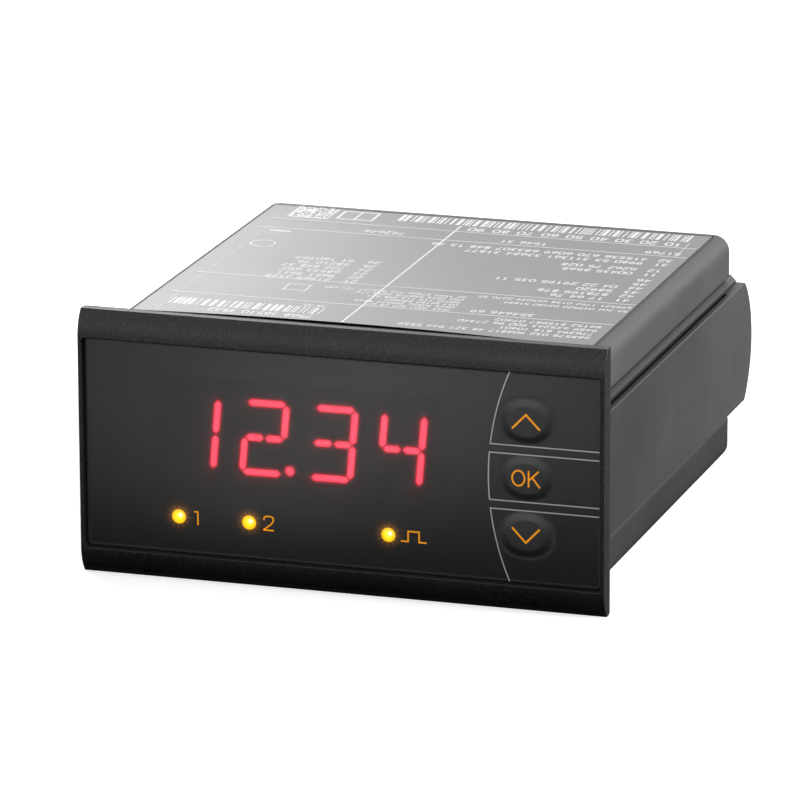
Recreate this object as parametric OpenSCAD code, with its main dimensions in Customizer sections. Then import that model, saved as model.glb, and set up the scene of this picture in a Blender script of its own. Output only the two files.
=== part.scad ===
// Digital panel meter, 96 x 48 mm format: four digits, three keys, plug-in screw terminals.
// Millimetres. The origin is the centre of the seat on the front face of the panel.
// +X is right as seen from the front, +Y goes into the panel and +Z is up.

/* [Bezel] */
// Width of the bezel
bezel_w = 96; // [94:0.5:110]
// Height of the bezel
bezel_h = 48; // [46:0.5:60]
// Thickness of the bezel at its flat middle
bezel_t = 3.3; // [3.1:0.1:5]
// Thickness left along the top and bottom edges of the bezel
bezel_edge_t = 1.4; // [1:0.1:2]
// Height of each curved band, above and below the film
band_h = 4.8; // [3:0.1:5]
// Width of the lip left and right of the film
side_lip = 0.6; // [0.4:0.1:1.5]
// Depth of the film's face below the bezel's front
film_drop = 1.3; // [0.8:0.1:1.6]
// Radius of the corners of the film's recess
recess_r = 0.8; // [0.4:0.1:2]
// Wall of the skirt that carries the display board
skirt_wall = 1.6; // [1.2:0.1:2]

/* [Gasket and film] */
// Thickness of the panel gasket
gasket_t = 0.8; // [0.5:0.1:1.5]
// Thickness of the printed film
film_t = 0.3; // [0.2:0.05:0.4]
// Thickness of the front part of the display window
window_t = 1.2; // [0.9:0.1:1.3]
// Width of the flange round the back of the display window
window_flange = 0.8; // [0.5:0.1:1.5]

/* [Display] */
// Height of the place of the display's centre above the bezel's centre
display_z = 2.8; // [0:0.1:4]
// Sideways place of the display's centre
display_x = -7.8; // [-10:0.1:-5]
// Width of one digit module
digit_w = 12.6; // [12:0.1:13]
// Height of one digit module
digit_h = 19; // [17:0.5:20]
// Depth of one digit module
digit_depth = 8; // [7:0.1:9]
// Width of a lit figure between the centre lines of its upright segments
figure_w = 7.2; // [6:0.1:8]
// Height of a lit figure between the centre lines of its level segments
figure_h = 12.65; // [11:0.05:14]
// Width of a segment
segment_w = 1.2; // [0.8:0.1:1.6]
// Lean of the figures
figure_lean = 5; // [0:0.5:10]

/* [Keys and lamps] */
// Distance of the keys' middle from the right-hand edge of the bezel
key_edge = 14.3; // [13.5:0.1:16]
// Room above the top key and below the bottom key, beyond their spacing
key_margin = 8.7; // [8:0.1:9]
// Width of a key
key_w = 9.1; // [8:0.1:9.5]
// Space between one key and the next
key_space = 2.5; // [2.3:0.1:4]
// How far a key stands out of the film
key_proud = 0.55; // [0.3:0.05:1]
// Travel of a key
key_travel = 0.5; // [0.3:0.05:0.7]
// Sideways places of the three lamps
lamp_x = [-30, -17, 8.6]; // [-34:0.1:12]
// Distance of the lamps' middle from the lower edge of the bezel
lamp_up = 11.6; // [10:0.1:12]
// Radius of a lamp's lens
lamp_r = 1.38; // [1:0.01:1.5]

/* [Housing] */
// How far the bezel stands out beyond each side of the housing
lip_side = 3; // [2:0.1:4]
// How far the bezel stands out above and below the housing
lip_top = 2.7; // [2:0.1:3]
// Depth of the housing behind the panel's front face
house_d = 90.2; // [86:0.2:120]
// Radius of the long edges of the housing
house_r = 3; // [2:0.1:4]
// Radius of the edges round the back of the housing
rear_r = 0.8; // [0.4:0.1:1.5]
// Wall of the housing
wall = 2; // [1.6:0.1:2.4]
// Thickness of the label on the top
label_t = 0.15; // [0.1:0.05:0.3]
// Distance of the label's edges from those of the housing
label_edge = 2.5; // [1.5:0.1:10]

/* [Side clamps] */
// Height of the housing's side above and below the mouth of the clamp channel
mouth_edge = 8.4; // [8:0.1:9]
// Radius of the lips along the mouth of the channel
lip_r = 1.1; // [0.5:0.05:1.2]
// Thickness of the lips
lip_t = 1.5; // [1.2:0.1:2]
// Depth of the channel below the side of the housing
channel_depth = 3; // [2.8:0.1:3.4]
// How far the clamp's plate stands out of the side of the housing
plate_proud = 1.8; // [1.6:0.1:2.6]
// Thickness of the clamp's plate beside its slots
plate_t = 1.1; // [0.8:0.1:1.2]
// Step from the mouth of the channel in to the edge of the clamp's plate
plate_step = 1.6; // [1.5:0.1:2.5]
// Gap between the panel's front face and the clamp
clamp_gap = 3.7; // [2.5:0.1:6]
// Length of the thumb tab behind the clamp's body
tab_l = 5; // [3:0.1:7]
// Spacing of the ratchet's teeth
tooth_pitch = 2; // [1.5:0.1:3]
// Height of the ratchet's teeth
tooth_h = 0.9; // [0.6:0.1:1]

/* [Terminals] */
// Spacing of the terminals
pole_pitch = 5.08; // [5:0.01:5.12]
// Gap between the upper and the lower row of plugs
row_gap = 1.9; // [1:0.1:3]
// Depth of a plug behind the housing
plug_depth = 10.7; // [10:0.1:14]
// Length of the nose of a plug inside its header
nose_l = 7.3; // [6:0.1:8]

/* [Boards] */
// Thickness of the circuit boards
board_t = 1.6; // [1:0.1:2]
// Distance of the inner face of each main board from the housing's inner wall
board_in = 5.1; // [5:0.1:5.5]

/* [Fits] */
// Gap round a moving or plugged piece
fit_gap = 0.2; // [0.15:0.05:0.3]
// Gap round a fixed piece
seat_gap = 0.1; // [0.05:0.05:0.2]
// Radial gap of a plunger in its switch
plunger_gap = 0.05; // [0.02:0.01:0.1]

/* [Hidden] */

eps = 0.01;
round_fn = 96;
house_w = bezel_w - 2 * lip_side;
house_h = bezel_h - 2 * lip_top;

// Planes from front to back
bezel_back = -gasket_t;
bezel_front = bezel_back - bezel_t;
film_front = bezel_front + film_drop;
film_back = film_front + film_t;
window_back = film_front + window_t;
digit_front = bezel_back;
board_front = digit_front + digit_depth;
board_back = board_front + board_t;
house_front = bezel_back;
house_back = house_d;

// Recess, band and bezel openings
recess_w = bezel_w - 2 * side_lip;
recess_h = bezel_h - 2 * band_h;
band_drop = bezel_t - bezel_edge_t;
band_r = (band_h * band_h + band_drop * band_drop) / (2 * band_drop);
film_gap = 0.3;
film_w = recess_w - 2 * film_gap;
film_h = recess_h - 2 * film_gap;
digits = 4;
window_w = digits * digit_w + 0.6;
window_h = digit_h + 0.2;
key_hole_gap = 0.25;
key_flange = 0.8;
key_flange_t = 0.7;
key_x = bezel_w / 2 - key_edge;
key_pitch = (bezel_h - 2 * key_margin) / 3;
key_h = key_pitch - key_space;
key_z = [key_pitch, 0, -key_pitch];
lamp_drop = bezel_h / 2 - lamp_up;
key_shoulder = 1.1;
lens_flange = 0.8;
lens_flange_t = 0.8;

// Inside of the housing
channel_floor = house_w / 2 - channel_depth;
floor_wall = 1.6;
inner_half_w = channel_floor - floor_wall;
inner_half_h = house_h / 2 - wall;
mouth_half = house_h / 2 - mouth_edge;
undercut_half = mouth_half + 1.8;
pocket_half_w = house_w / 2 - wall;
pocket_z = undercut_half + 2.4;
cavity_back = house_back - wall;
snap_w = 12;
snap_h = 0.5;
snap_x = 22;
snap_y = 3.6;

// Skirt of the bezel
skirt_half_w = inner_half_w - 0.5;
skirt_half_h = inner_half_h - 0.4;
skirt_slot_half = skirt_half_h - 4;
boss_r = 2;
boss_x = skirt_half_w - boss_r;
boss_z = skirt_half_h - boss_r;
screw_r = 0.9;
screw_l = 5;
screw_bite = 0.05;
screw_head_r = 1.8;
screw_head_t = 1.3;
screw_slot = 0.5;

// Clamps
rail_clear = 0.2;
rail_in = channel_floor + rail_clear;
rail_out = house_w / 2 - lip_t - 0.3;
rail_half = undercut_half - 0.4;
body_half = mouth_half - 0.25;
plate_half = mouth_half - plate_step;
strip_bevel = 1;
plate_out = house_w / 2 + plate_proud;
slot_in = house_w / 2;
slot_out = plate_out - plate_t;
slot_depth = 3;
clamp_back = house_back + 4.2;
slot_end = house_back - 5.2;
plate_r = 0.15;
tab_r = (plate_half * plate_half + tab_l * tab_l) / (2 * tab_l);
rack_half = 4;
rack_from = 12;
rack_to = house_back - 18;
tooth_clear = 0.15;
pawl_teeth = 3;
pawl_y = rack_to - 2 - pawl_teeth * tooth_pitch;
groove_half = rack_half + 0.5;
groove_out = rail_in + tooth_h + 0.7;

// Terminals: name, poles, sideways place, row (1 above, -1 below)
input_at = [6, -17, 1];
output_at = [2, 22, 1];
relay_at = [6, -17, -1];
supply_at = [2, 22, -1];
terminals = [input_at, output_at, relay_at, supply_at];
header_wall = 1;
header_h = 10.5;
board_z = inner_half_h - board_in;
header_z = board_z - header_h / 2;
plug_h = 2 * header_z - row_gap;
header_back = house_back - 0.3;
header_l = nose_l + 2.6;
header_front = header_back - header_l;
header_floor = header_back - nose_l - fit_gap;
nose_h = header_h - 2 * header_wall - 2 * fit_gap;
plug_front = house_back + 0.3;
plug_back = plug_front + plug_depth;
nose_front = header_back - nose_l;
pin_w = 1;
pin_reach = 5.6;
pin_drop_y = header_front - pin_w;
entry_z = -0.2375 * plug_h;
entry_w = 0.1875 * plug_h;
screw_z = plug_h / 4;
head_r = 1.75;
shank_r = 1.25;
head_t = 1.5;
head_sink = 1.2;
cage_w = entry_w + 0.9;
cage_l = 5.5;
cage_y = plug_back - 2.2 - cage_l;
yoke_t = 1.2;

// Main boards
board_half_w = inner_half_w - 0.3;
main_front = board_back + 2;
main_back = cavity_back - 0.5;
rail_rib = 1.2;
rib_t = 1.1;
hole_r = 0.8;
link_pitch = 2;
link_pins_n = 4;
link_x = display_x + window_w / 2 + 4.6;
link_t = 2.5;
link_pin_w = 0.64;

// Parts on the boards
relay_size = [12.7, 28.5, 15.5];
relay_gap = 2;
relay_y = header_front - relay_size[1] - 3;
core_size = [20, 20, 5.6];
core_at = [19, 46];
bulk_at = [24, main_front + 4];
small_at = [[2, main_front + 10], [12, main_front + 10]];
small_r = 4;
small_l = 12.4;
fuse_at = [supply_at[1] + 8, header_front - 9];
fuse_r = 4.2;
fuse_h = 7.5;
varistor_at = [supply_at[1] - 4, header_front - 8];
varistor_r = 5.6;
varistor_t = 4;
// Chips under the signal board: place, then width, length and height
chips = [
    [-6, 34, 10, 10, 1.4],
    [12, 34, 4, 8.8, 1.6],
    [-24, 56, 7.4, 10, 2.3],
    [22, 60, 4, 5, 1.6]
];
isolator_at = [[-8, 56], [0, 56], [8, 56]];
isolator_size = [4.6, 6.6, 3.6];
driver_size = [10, 1.4, 10];

// A rectangle with rounded corners, centred
module rounded(w, h, r) {
    square([w - 2 * r, h], center = true);
    square([w, h - 2 * r], center = true);
    for (x = [-1, 1], y = [-1, 1])
        translate([x * (w / 2 - r), y * (h / 2 - r)])
            circle(r = r, $fn = round_fn);
}

// A flat outline (X, Z) carried along Y from y0 to y1
module along_y(y0, y1) {
    translate([0, y1, 0])
        rotate([90, 0, 0])
            linear_extrude(height = y1 - y0)
                children();
}

// A flat outline (Y, Z) carried along X from x0 to x1
module along_x(x0, x1) {
    translate([x0, 0, 0])
        rotate([90, 0, 90])
            linear_extrude(height = x1 - x0)
                children();
}

// A block given by its two corners
module block(low, high) {
    translate(low)
        cube(high - low);
}

// A round bar along Y from y0 to y1 at (x, z)
module bar(x, z, r, y0, y1) {
    translate([x, y1, z])
        rotate([90, 0, 0])
            cylinder(r = r, h = y1 - y0, $fn = round_fn);
}

// A stadium outline of the given width and height
module stadium(w, h) {
    square([w - h, h], center = true);
    for (x = [-1, 1])
        translate([x * (w - h) / 2, 0])
            circle(d = h, $fn = round_fn);
}

// ---------- bezel, gasket, film, window ----------

module band(side) {
    intersection() {
        block([-bezel_w / 2, bezel_front, min(side * recess_h / 2, side * bezel_h / 2)],
              [bezel_w / 2, bezel_back, max(side * recess_h / 2, side * bezel_h / 2)]);
        translate([0, bezel_front + band_r, side * recess_h / 2])
            rotate([0, 90, 0])
                cylinder(r = band_r, h = bezel_w + 2, center = true, $fn = round_fn);
    }
}

module front_openings() {
    along_y(bezel_front - 1, film_back)
        rounded(recess_w, recess_h, recess_r);
    translate([display_x, 0, display_z]) {
        along_y(film_back - 1, bezel_back + 1)
            square([window_w + 2 * seat_gap, window_h + 2 * seat_gap], center = true);
        along_y(window_back, bezel_back + 1)
            square([window_w + 2 * (window_flange + seat_gap),
                    window_h + 2 * (window_flange + seat_gap)],
                   center = true);
    }
    for (z = key_z)
        translate([key_x, 0, z])
            along_y(film_back - 1, bezel_back + 1)
                stadium(key_w + 2 * key_hole_gap, key_h + 2 * key_hole_gap);
    for (x = lamp_x)
        bar(x, -lamp_drop, lamp_r + seat_gap, film_back - 1, bezel_back + 1);
}

module snap_ridge(side) {
    translate([0, 0, side * skirt_half_h])
        along_x(-snap_w / 2, snap_w / 2)
            polygon([[snap_y - 1.2, 0], [snap_y, side * (snap_h + 0.4)],
                     [snap_y + 0.4, side * (snap_h + 0.4)], [snap_y + 2.4, 0]]);
}

module front_bezel() {
    color([0.16, 0.16, 0.17])
    difference() {
        union() {
            block([-bezel_w / 2, bezel_front, -recess_h / 2], [bezel_w / 2, bezel_back, recess_h / 2]);
            band(1);
            band(-1);
            difference() {
                along_y(bezel_back - eps, board_front)
                    square([2 * skirt_half_w, 2 * skirt_half_h], center = true);
                along_y(bezel_back, board_front + 1)
                    square([2 * (skirt_half_w - skirt_wall), 2 * (skirt_half_h - skirt_wall)], center = true);
                along_y(bezel_back, board_front + 1)
                    square([2 * skirt_half_w + 1, 2 * skirt_slot_half], center = true);
            }
            for (x = [-1, 1], z = [-1, 1])
                bar(x * boss_x, z * boss_z, boss_r, bezel_back - eps, board_front);
            for (x = [-1, 1], side = [-1, 1])
                translate([x * snap_x, 0, 0])
                    snap_ridge(side);
        }
        front_openings();
        for (x = [-1, 1], z = [-1, 1])
            bar(x * boss_x, z * boss_z, screw_r + screw_bite, board_front - screw_l - 0.5, board_front + 1);
    }
}

module panel_gasket() {
    color([0.05, 0.05, 0.05])
    along_y(bezel_back, 0)
        difference() {
            square([bezel_w - 0.2, bezel_h - 0.2], center = true);
            rounded(house_w + 0.6, house_h + 0.6, house_r);
        }
}

module front_film() {
    color([0.2, 0.2, 0.21])
    difference() {
        along_y(film_front, film_back)
            rounded(film_w, film_h, recess_r - 0.2);
        translate([display_x, 0, display_z])
            along_y(film_front - 1, film_back + 1)
                square([window_w + 2 * seat_gap, window_h + 2 * seat_gap], center = true);
        for (z = key_z)
            translate([key_x, 0, z])
                along_y(film_front - 1, film_back + 1)
                    stadium(key_w + 2 * seat_gap, key_h + 2 * seat_gap);
        for (x = lamp_x)
            bar(x, -lamp_drop, lamp_r + seat_gap / 2, film_front - 1, film_back + 1);
    }
}

module display_window() {
    color([0.25, 0.22, 0.23, 0.5])
    translate([display_x, 0, display_z]) {
        along_y(film_front, window_back + eps)
            square([window_w, window_h], center = true);
        along_y(window_back, bezel_back - seat_gap)
            square([window_w + 2 * window_flange, window_h + 2 * window_flange], center = true);
    }
}

module indicator_lenses() {
    color([1, 0.8, 0.1])
    for (x = lamp_x) {
        bar(x, -lamp_drop, lamp_r, film_front, bezel_back + lens_flange_t);
        bar(x, -lamp_drop, lamp_r + lens_flange, bezel_back, bezel_back + lens_flange_t);
    }
}

// ---------- keys ----------

// The pad: a flat top with sloping shoulders, a stem through the bezel and a flange behind it
module key_pad(z) {
    top_h = key_h - 2 * key_shoulder;
    half = (key_w - key_h) / 2;
    color([0.21, 0.21, 0.22])
    translate([key_x, 0, z]) {
        for (x = [-half, half])
            translate([x, film_front, 0])
                rotate([90, 0, 0])
                    cylinder(r1 = key_h / 2, r2 = top_h / 2, h = key_proud, $fn = round_fn);
        along_x(-half, half)
            polygon([[film_front, -key_h / 2], [film_front - key_proud, -top_h / 2],
                     [film_front - key_proud, top_h / 2], [film_front, key_h / 2]]);
        along_y(film_front - eps, bezel_back)
            stadium(key_w, key_h);
        along_y(bezel_back, bezel_back + key_flange_t)
            stadium(key_w + 2 * key_flange, key_h + 2 * key_flange);
    }
}

switch_top = board_front - 3.5;
plunger_r = 1.75;
plunger_front = bezel_back + key_flange_t;
plunger_back = switch_top + 0.9;

module key_plunger(z) {
    color([0.15, 0.15, 0.15])
    bar(key_x, z, plunger_r, plunger_front, plunger_back);
}

module key_switches() {
    color([0.6, 0.6, 0.62])
    for (z = key_z)
        translate([key_x, 0, z])
            difference() {
                along_y(switch_top, board_front)
                    square([6, 6], center = true);
                bar(0, 0, plunger_r + plunger_gap, switch_top - 1, plunger_back + key_travel + 0.3);
            }
}

// ---------- lamps and digits ----------

lamp_body_r = 1.5;
lamp_tip = bezel_back + lens_flange_t + 0.3;

module status_lamp(i) {
    color([1, 0.7, 0.1])
    translate([lamp_x[i], 0, -lamp_drop]) {
        translate([0, lamp_tip + lamp_body_r, 0])
            sphere(r = lamp_body_r, $fn = round_fn);
        bar(0, 0, lamp_body_r, lamp_tip + lamp_body_r, board_front);
        bar(0, 0, lamp_body_r + 0.3, board_front - 0.8, board_front);
    }
}

half_x = figure_w / 2;
half_z = figure_h / 2;
diagonal_top = [half_x - 1.15, half_z - 1.5];
diagonal_end = [0.95, 1.4];
// Segments by number: 0 top, 1 upper right, 2 lower right, 3 bottom, 4 lower left, 5 upper left,
// 6 and 7 middle, 8 and 9 upright, 10 to 13 slanting
segment_ends = [
    [[-half_x, half_z], [half_x, half_z]],
    [[half_x, half_z], [half_x, 0]],
    [[half_x, 0], [half_x, -half_z]],
    [[-half_x, -half_z], [half_x, -half_z]],
    [[-half_x, -half_z], [-half_x, 0]],
    [[-half_x, 0], [-half_x, half_z]],
    [[-half_x, 0], [0, 0]],
    [[0, 0], [half_x, 0]],
    [[0, half_z - 0.8], [0, 0.6]],
    [[0, -half_z + 0.8], [0, -0.6]],
    [[-diagonal_top[0], diagonal_top[1]], [-diagonal_end[0], diagonal_end[1]]],
    [[diagonal_top[0], diagonal_top[1]], [diagonal_end[0], diagonal_end[1]]],
    [[-diagonal_top[0], -diagonal_top[1]], [-diagonal_end[0], -diagonal_end[1]]],
    [[diagonal_top[0], -diagonal_top[1]], [diagonal_end[0], -diagonal_end[1]]]
];
straight_segments = 8;
figures = [[1, 2], [0, 1, 6, 7, 4, 3], [0, 1, 2, 3, 6, 7], [5, 1, 2, 6, 7]];
point_at = [4.62, -5.62];
point_r = 0.82;
point_lit = 1;
segment_gap = 0.14;
segment_in = 0.4;
figure_x = -0.6;
figure_z = -0.2;

function lean(p) = [p[0] + p[1] * tan(figure_lean), p[1]];
function is_in(v, list) = len([for (a = list) if (a == v) a]) > 0;
function digit_centre(i) = display_x + (i - (digits - 1) / 2) * digit_w;

// A bar with pointed ends between two points
function segment_points(p, q, w) =
    let (
        d = (q - p) / norm(q - p),
        n = [-d[1], d[0]],
        a = p + d * segment_gap,
        b = q - d * segment_gap,
        h = w / 2
    )
    [for (v = [a, a + d * h + n * h, b - d * h + n * h, b, b - d * h - n * h, a + d * h - n * h]) lean(v)];

module segment(i, s, start) {
    translate([digit_centre(i) + figure_x, 0, display_z + figure_z])
        along_y(start, digit_front + segment_in)
            polygon(segment_points(segment_ends[s][0], segment_ends[s][1],
                                   s < straight_segments ? segment_w : segment_w - 0.4));
}

module decimal_point(i, start) {
    bar(digit_centre(i) + figure_x + point_at[0], display_z + figure_z + point_at[1], point_r,
        start, digit_front + segment_in);
}

module digit(i) {
    color([0.34, 0.34, 0.35])
    difference() {
        translate([digit_centre(i), 0, display_z])
            along_y(digit_front, board_front)
                square([digit_w - seat_gap, digit_h], center = true);
        for (s = [0 : len(segment_ends) - 1])
            segment(i, s, digit_front - 1);
        decimal_point(i, digit_front - 1);
    }
}

module lit_segments() {
    color([1, 0.25, 0.3])
    for (i = [0 : digits - 1]) {
        for (s = figures[i])
            segment(i, s, digit_front);
        if (i == point_lit)
            decimal_point(i, digit_front);
    }
}

module dark_segments() {
    color([0.4, 0.36, 0.36])
    for (i = [0 : digits - 1]) {
        for (s = [0 : len(segment_ends) - 1])
            if (!is_in(s, figures[i]))
                segment(i, s, digit_front);
        if (i != point_lit)
            decimal_point(i, digit_front);
    }
}

// ---------- display board ----------

module display_board() {
    color([0.05, 0.3, 0.15])
    difference() {
        along_y(board_front, board_back)
            square([2 * skirt_half_w, 2 * skirt_half_h], center = true);
        for (x = [-1, 1], z = [-1, 1])
            bar(x * boss_x, z * boss_z, screw_r + 0.15, board_front - 1, board_back + 1);
        link_holes();
    }
}

module board_screws() {
    color([0.7, 0.7, 0.72])
    for (x = [-1, 1], z = [-1, 1])
        difference() {
            union() {
                bar(x * boss_x, z * boss_z, screw_r, board_front - screw_l, board_back + eps);
                bar(x * boss_x, z * boss_z, screw_head_r, board_back, board_back + screw_head_t);
            }
            translate([x * boss_x, board_back + screw_head_t, z * boss_z])
                cube([2 * screw_head_r + 1, screw_head_t, screw_slot], center = true);
        }
}

module display_driver() {
    color([0.1, 0.1, 0.1])
    translate([display_x - driver_size[0] / 2, board_back, display_z - driver_size[2] / 2])
        cube(driver_size);
}

// ---------- housing ----------

// A box with rounded long edges and a rounded rim at the back
module housing_block() {
    flat_w = house_w - 2 * house_r;
    flat_h = house_h - 2 * house_r;
    along_x(-flat_w / 2, flat_w / 2)
        rim_outline(house_h);
    translate([0, 0, -flat_h / 2])
        linear_extrude(height = flat_h)
            rotate(90)
                rim_outline(house_w);
    for (x = [-1, 1], z = [-1, 1])
        translate([x * flat_w / 2, house_front, z * flat_h / 2])
            rotate([-90, 0, 0])
                rotate_extrude($fn = round_fn)
                    corner_outline();
}

// Length along the first axis, the given width across the second, rounded at the far end
module rim_outline(w) {
    translate([house_front, -w / 2])
        square([house_back - rear_r - house_front, w]);
    translate([house_front, -w / 2 + rear_r])
        square([house_back - house_front, w - 2 * rear_r]);
    for (s = [-1, 1])
        translate([house_back - rear_r, s * (w / 2 - rear_r)])
            circle(r = rear_r, $fn = round_fn);
}

module corner_outline() {
    l = house_back - house_front;
    square([house_r - rear_r, l]);
    square([house_r, l - rear_r]);
    translate([house_r - rear_r, l - rear_r])
        circle(r = rear_r, $fn = round_fn);
}

// The undercut channel that each clamp slides in, with its lips rounded
module clamp_channel(side) {
    lip_x = house_w / 2 - lip_t;
    mirror([side < 0 ? 1 : 0, 0, 0])
        along_y(house_front - 1, house_back + 1) {
            translate([channel_floor, -undercut_half])
                square([lip_x - channel_floor, 2 * undercut_half]);
            translate([lip_x - eps, -mouth_half])
                square([lip_t + 1, 2 * mouth_half]);
            for (s = [-1, 1])
                difference() {
                    translate([house_w / 2 - lip_r, s > 0 ? mouth_half - eps : -mouth_half - lip_r])
                        square([lip_r + 1, lip_r + eps]);
                    translate([house_w / 2 - lip_r, s * (mouth_half + lip_r)])
                        circle(r = lip_r, $fn = round_fn);
                }
        }
}

// Saw teeth on the floor of the channel, which the clamp's pawl clicks along
module rack(side) {
    count = floor((rack_to - rack_from) / tooth_pitch);
    points = [
        for (i = [0 : count - 1], p = [[0, 0], [0.25, tooth_h], [tooth_pitch - 0.05, 0]])
            [p[1], rack_from + i * tooth_pitch + p[0]]
    ];
    mirror([side < 0 ? 1 : 0, 0, 0])
        translate([channel_floor, 0, -rack_half])
            linear_extrude(height = 2 * rack_half)
                polygon(concat([[-0.5, rack_from - 0.5]], points,
                               [[-0.5, rack_from + count * tooth_pitch]]));
}

// Ribs that hold the edge of a main board
module board_rails(side) {
    for (x = [-1, 1], z = [board_z - 0.1 - rib_t, board_z + board_t + 0.1])
        mirror([x < 0 ? 1 : 0, 0, 0])
            mirror([0, 0, side < 0 ? 1 : 0])
                block([inner_half_w - rail_rib, main_front, z], [inner_half_w + 0.3, main_back, z + rib_t]);
}

module housing() {
    color([0.27, 0.27, 0.28])
    difference() {
        union() {
            difference() {
                housing_block();
                along_y(house_front - 1, cavity_back)
                    square([2 * inner_half_w, 2 * inner_half_h], center = true);
                for (z = [-1, 1])
                    along_y(house_front - 1, cavity_back)
                        translate([0, z * (pocket_z + inner_half_h) / 2])
                            square([2 * pocket_half_w - 1, inner_half_h - pocket_z], center = true);
                for (side = [-1, 1])
                    clamp_channel(side);
            }
            for (side = [-1, 1]) {
                rack(side);
                board_rails(side);
            }
        }
        for (x = [-1, 1], side = [-1, 1])
            translate([x * snap_x, 0, side * inner_half_h])
                block([-snap_w / 2 - 0.5, snap_y - 2, min(-0.2, side * 0.9)],
                      [snap_w / 2 + 0.5, snap_y + 3, max(0.2, side * 0.9)]);
        for (t = terminals)
            at_terminal(t)
                along_y(cavity_back - 1, house_back + 1)
                    square([header_w(t[0]) + 2 * seat_gap, header_h + 2 * seat_gap], center = true);
    }
}

module top_label() {
    color([0.75, 0.75, 0.76])
    translate([0, (house_front + house_back) / 2, house_h / 2])
        linear_extrude(height = label_t)
            rounded(house_w - 2 * label_edge, house_back - house_front - 2 * label_edge, 1);
}

// ---------- side clamps ----------

// Section of the clamp behind the end of its slots, in X and Z
module clamp_section() {
    translate([rail_in, -rail_half])
        square([rail_out - rail_in, 2 * rail_half]);
    polygon([[rail_out - eps, body_half], [slot_in - strip_bevel, body_half],
             [slot_in, body_half - strip_bevel], [slot_in, plate_half], [plate_out - plate_r, plate_half],
             [plate_out, plate_half - plate_r], [plate_out, -plate_half + plate_r],
             [plate_out - plate_r, -plate_half], [slot_in, -plate_half], [slot_in, -body_half + strip_bevel],
             [slot_in - strip_bevel, -body_half], [rail_out - eps, -body_half]]);
}

module pawl() {
    points = [
        for (i = [0 : pawl_teeth - 1], p = [[0, 0], [-0.25, -tooth_h + 0.3], [-tooth_pitch + 0.05, 0]])
            [p[1], pawl_y + (pawl_teeth - i) * tooth_pitch + p[0]]
    ];
    translate([channel_floor + tooth_h + tooth_clear + tooth_h - 0.3, 0, -rack_half + 0.5])
        linear_extrude(height = 2 * rack_half - 1)
            polygon(concat([[0.9, pawl_y + pawl_teeth * tooth_pitch]], points, [[0.9, pawl_y]]));
}

// The right-hand clamp: a body that slides in the channel, a plate and a thumb tab
module clamp() {
    difference() {
        union() {
            along_y(clamp_gap, clamp_back)
                clamp_section();
            intersection() {
                along_x(slot_in, plate_out)
                    translate([clamp_back + tab_l - tab_r, 0])
                        circle(r = tab_r, $fn = round_fn);
                block([slot_in - 1, clamp_back - eps, -plate_half],
                      [plate_out + 1, clamp_back + tab_l + 1, plate_half]);
            }
        }
        for (z = [-1, 1])
            translate([0, 0, z * (plate_half - slot_depth / 2 + 1)])
                slot();
        block([rail_in - 1, clamp_gap - 1, -groove_half], [groove_out, clamp_back + 1, groove_half]);
    }
    pawl();
}

module slot() {
    w = slot_out - slot_in;
    translate([0, 0, -slot_depth / 2 - 1])
        linear_extrude(height = slot_depth + 2) {
            translate([slot_in, clamp_gap - 1])
                square([w, slot_end - clamp_gap + 1]);
            translate([slot_in + w / 2, slot_end])
                circle(r = w / 2, $fn = round_fn);
        }
}

module clamp_right() {
    color([0.3, 0.3, 0.31])
    clamp();
}

module clamp_left() {
    color([0.3, 0.3, 0.31])
    mirror([1, 0, 0])
        clamp();
}

// ---------- main boards and what is on them ----------

module link_holes() {
    for (side = [-1, 1], i = [0 : link_pins_n - 1])
        translate([link_x + (i - (link_pins_n - 1) / 2) * link_pitch, 0, side * (board_z - link_t / 2)])
            along_y(board_front - 1, board_back + 1)
                square(link_pin_w + 0.2, center = true);
}

module main_board(side) {
    mirror([0, 0, side < 0 ? 1 : 0])
        difference() {
            block([-board_half_w, main_front, board_z], [board_half_w, main_back, board_z + board_t]);
            for (t = terminals)
                if (t[2] == side)
                    for (i = [0 : t[0] - 1])
                        translate([t[1] + pole_x(t[0], i), pin_drop_y + pin_w / 2, board_z - 1])
                            cylinder(r = hole_r, h = board_t + 2, $fn = round_fn);
            for (i = [0 : link_pins_n - 1])
                translate([link_x + (i - (link_pins_n - 1) / 2) * link_pitch, main_front + 2, board_z - 1])
                    cylinder(r = 0.55, h = board_t + 2, $fn = round_fn);
        }
}

module signal_board() {
    color([0.05, 0.3, 0.15])
    main_board(1);
}

module power_board() {
    color([0.05, 0.3, 0.15])
    main_board(-1);
}

// Plastic bars of the pin strips that join the display board to the main boards
module board_links() {
    color([0.08, 0.08, 0.08])
    for (side = [-1, 1])
        mirror([0, 0, side < 0 ? 1 : 0])
            difference() {
                block([link_x - link_pins_n * link_pitch / 2, board_back, board_z - link_t],
                      [link_x + link_pins_n * link_pitch / 2, main_front + 1.3, board_z]);
                for (i = [0 : link_pins_n - 1])
                    translate([link_x + (i - (link_pins_n - 1) / 2) * link_pitch, 0, board_z - link_t / 2])
                        along_y(board_back - 1, main_front + 2)
                            square(link_pin_w, center = true);
            }
}

module link_pins() {
    color([0.8, 0.7, 0.4])
    for (side = [-1, 1], i = [0 : link_pins_n - 1])
        mirror([0, 0, side < 0 ? 1 : 0])
            translate([link_x + (i - (link_pins_n - 1) / 2) * link_pitch, 0, board_z - link_t / 2]) {
                along_y(board_front - 0.4, main_front + 2 + link_pin_w / 2)
                    square(link_pin_w, center = true);
                block([-link_pin_w / 2, main_front + 2 - link_pin_w / 2, -link_pin_w / 2],
                      [link_pin_w / 2, main_front + 2 + link_pin_w / 2, link_t / 2 + board_t + 0.8]);
            }
}

// Lays the power board's parts out from its inner face, which faces up
module on_power(x, y) {
    translate([x, y, -board_z])
        children();
}

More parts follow.
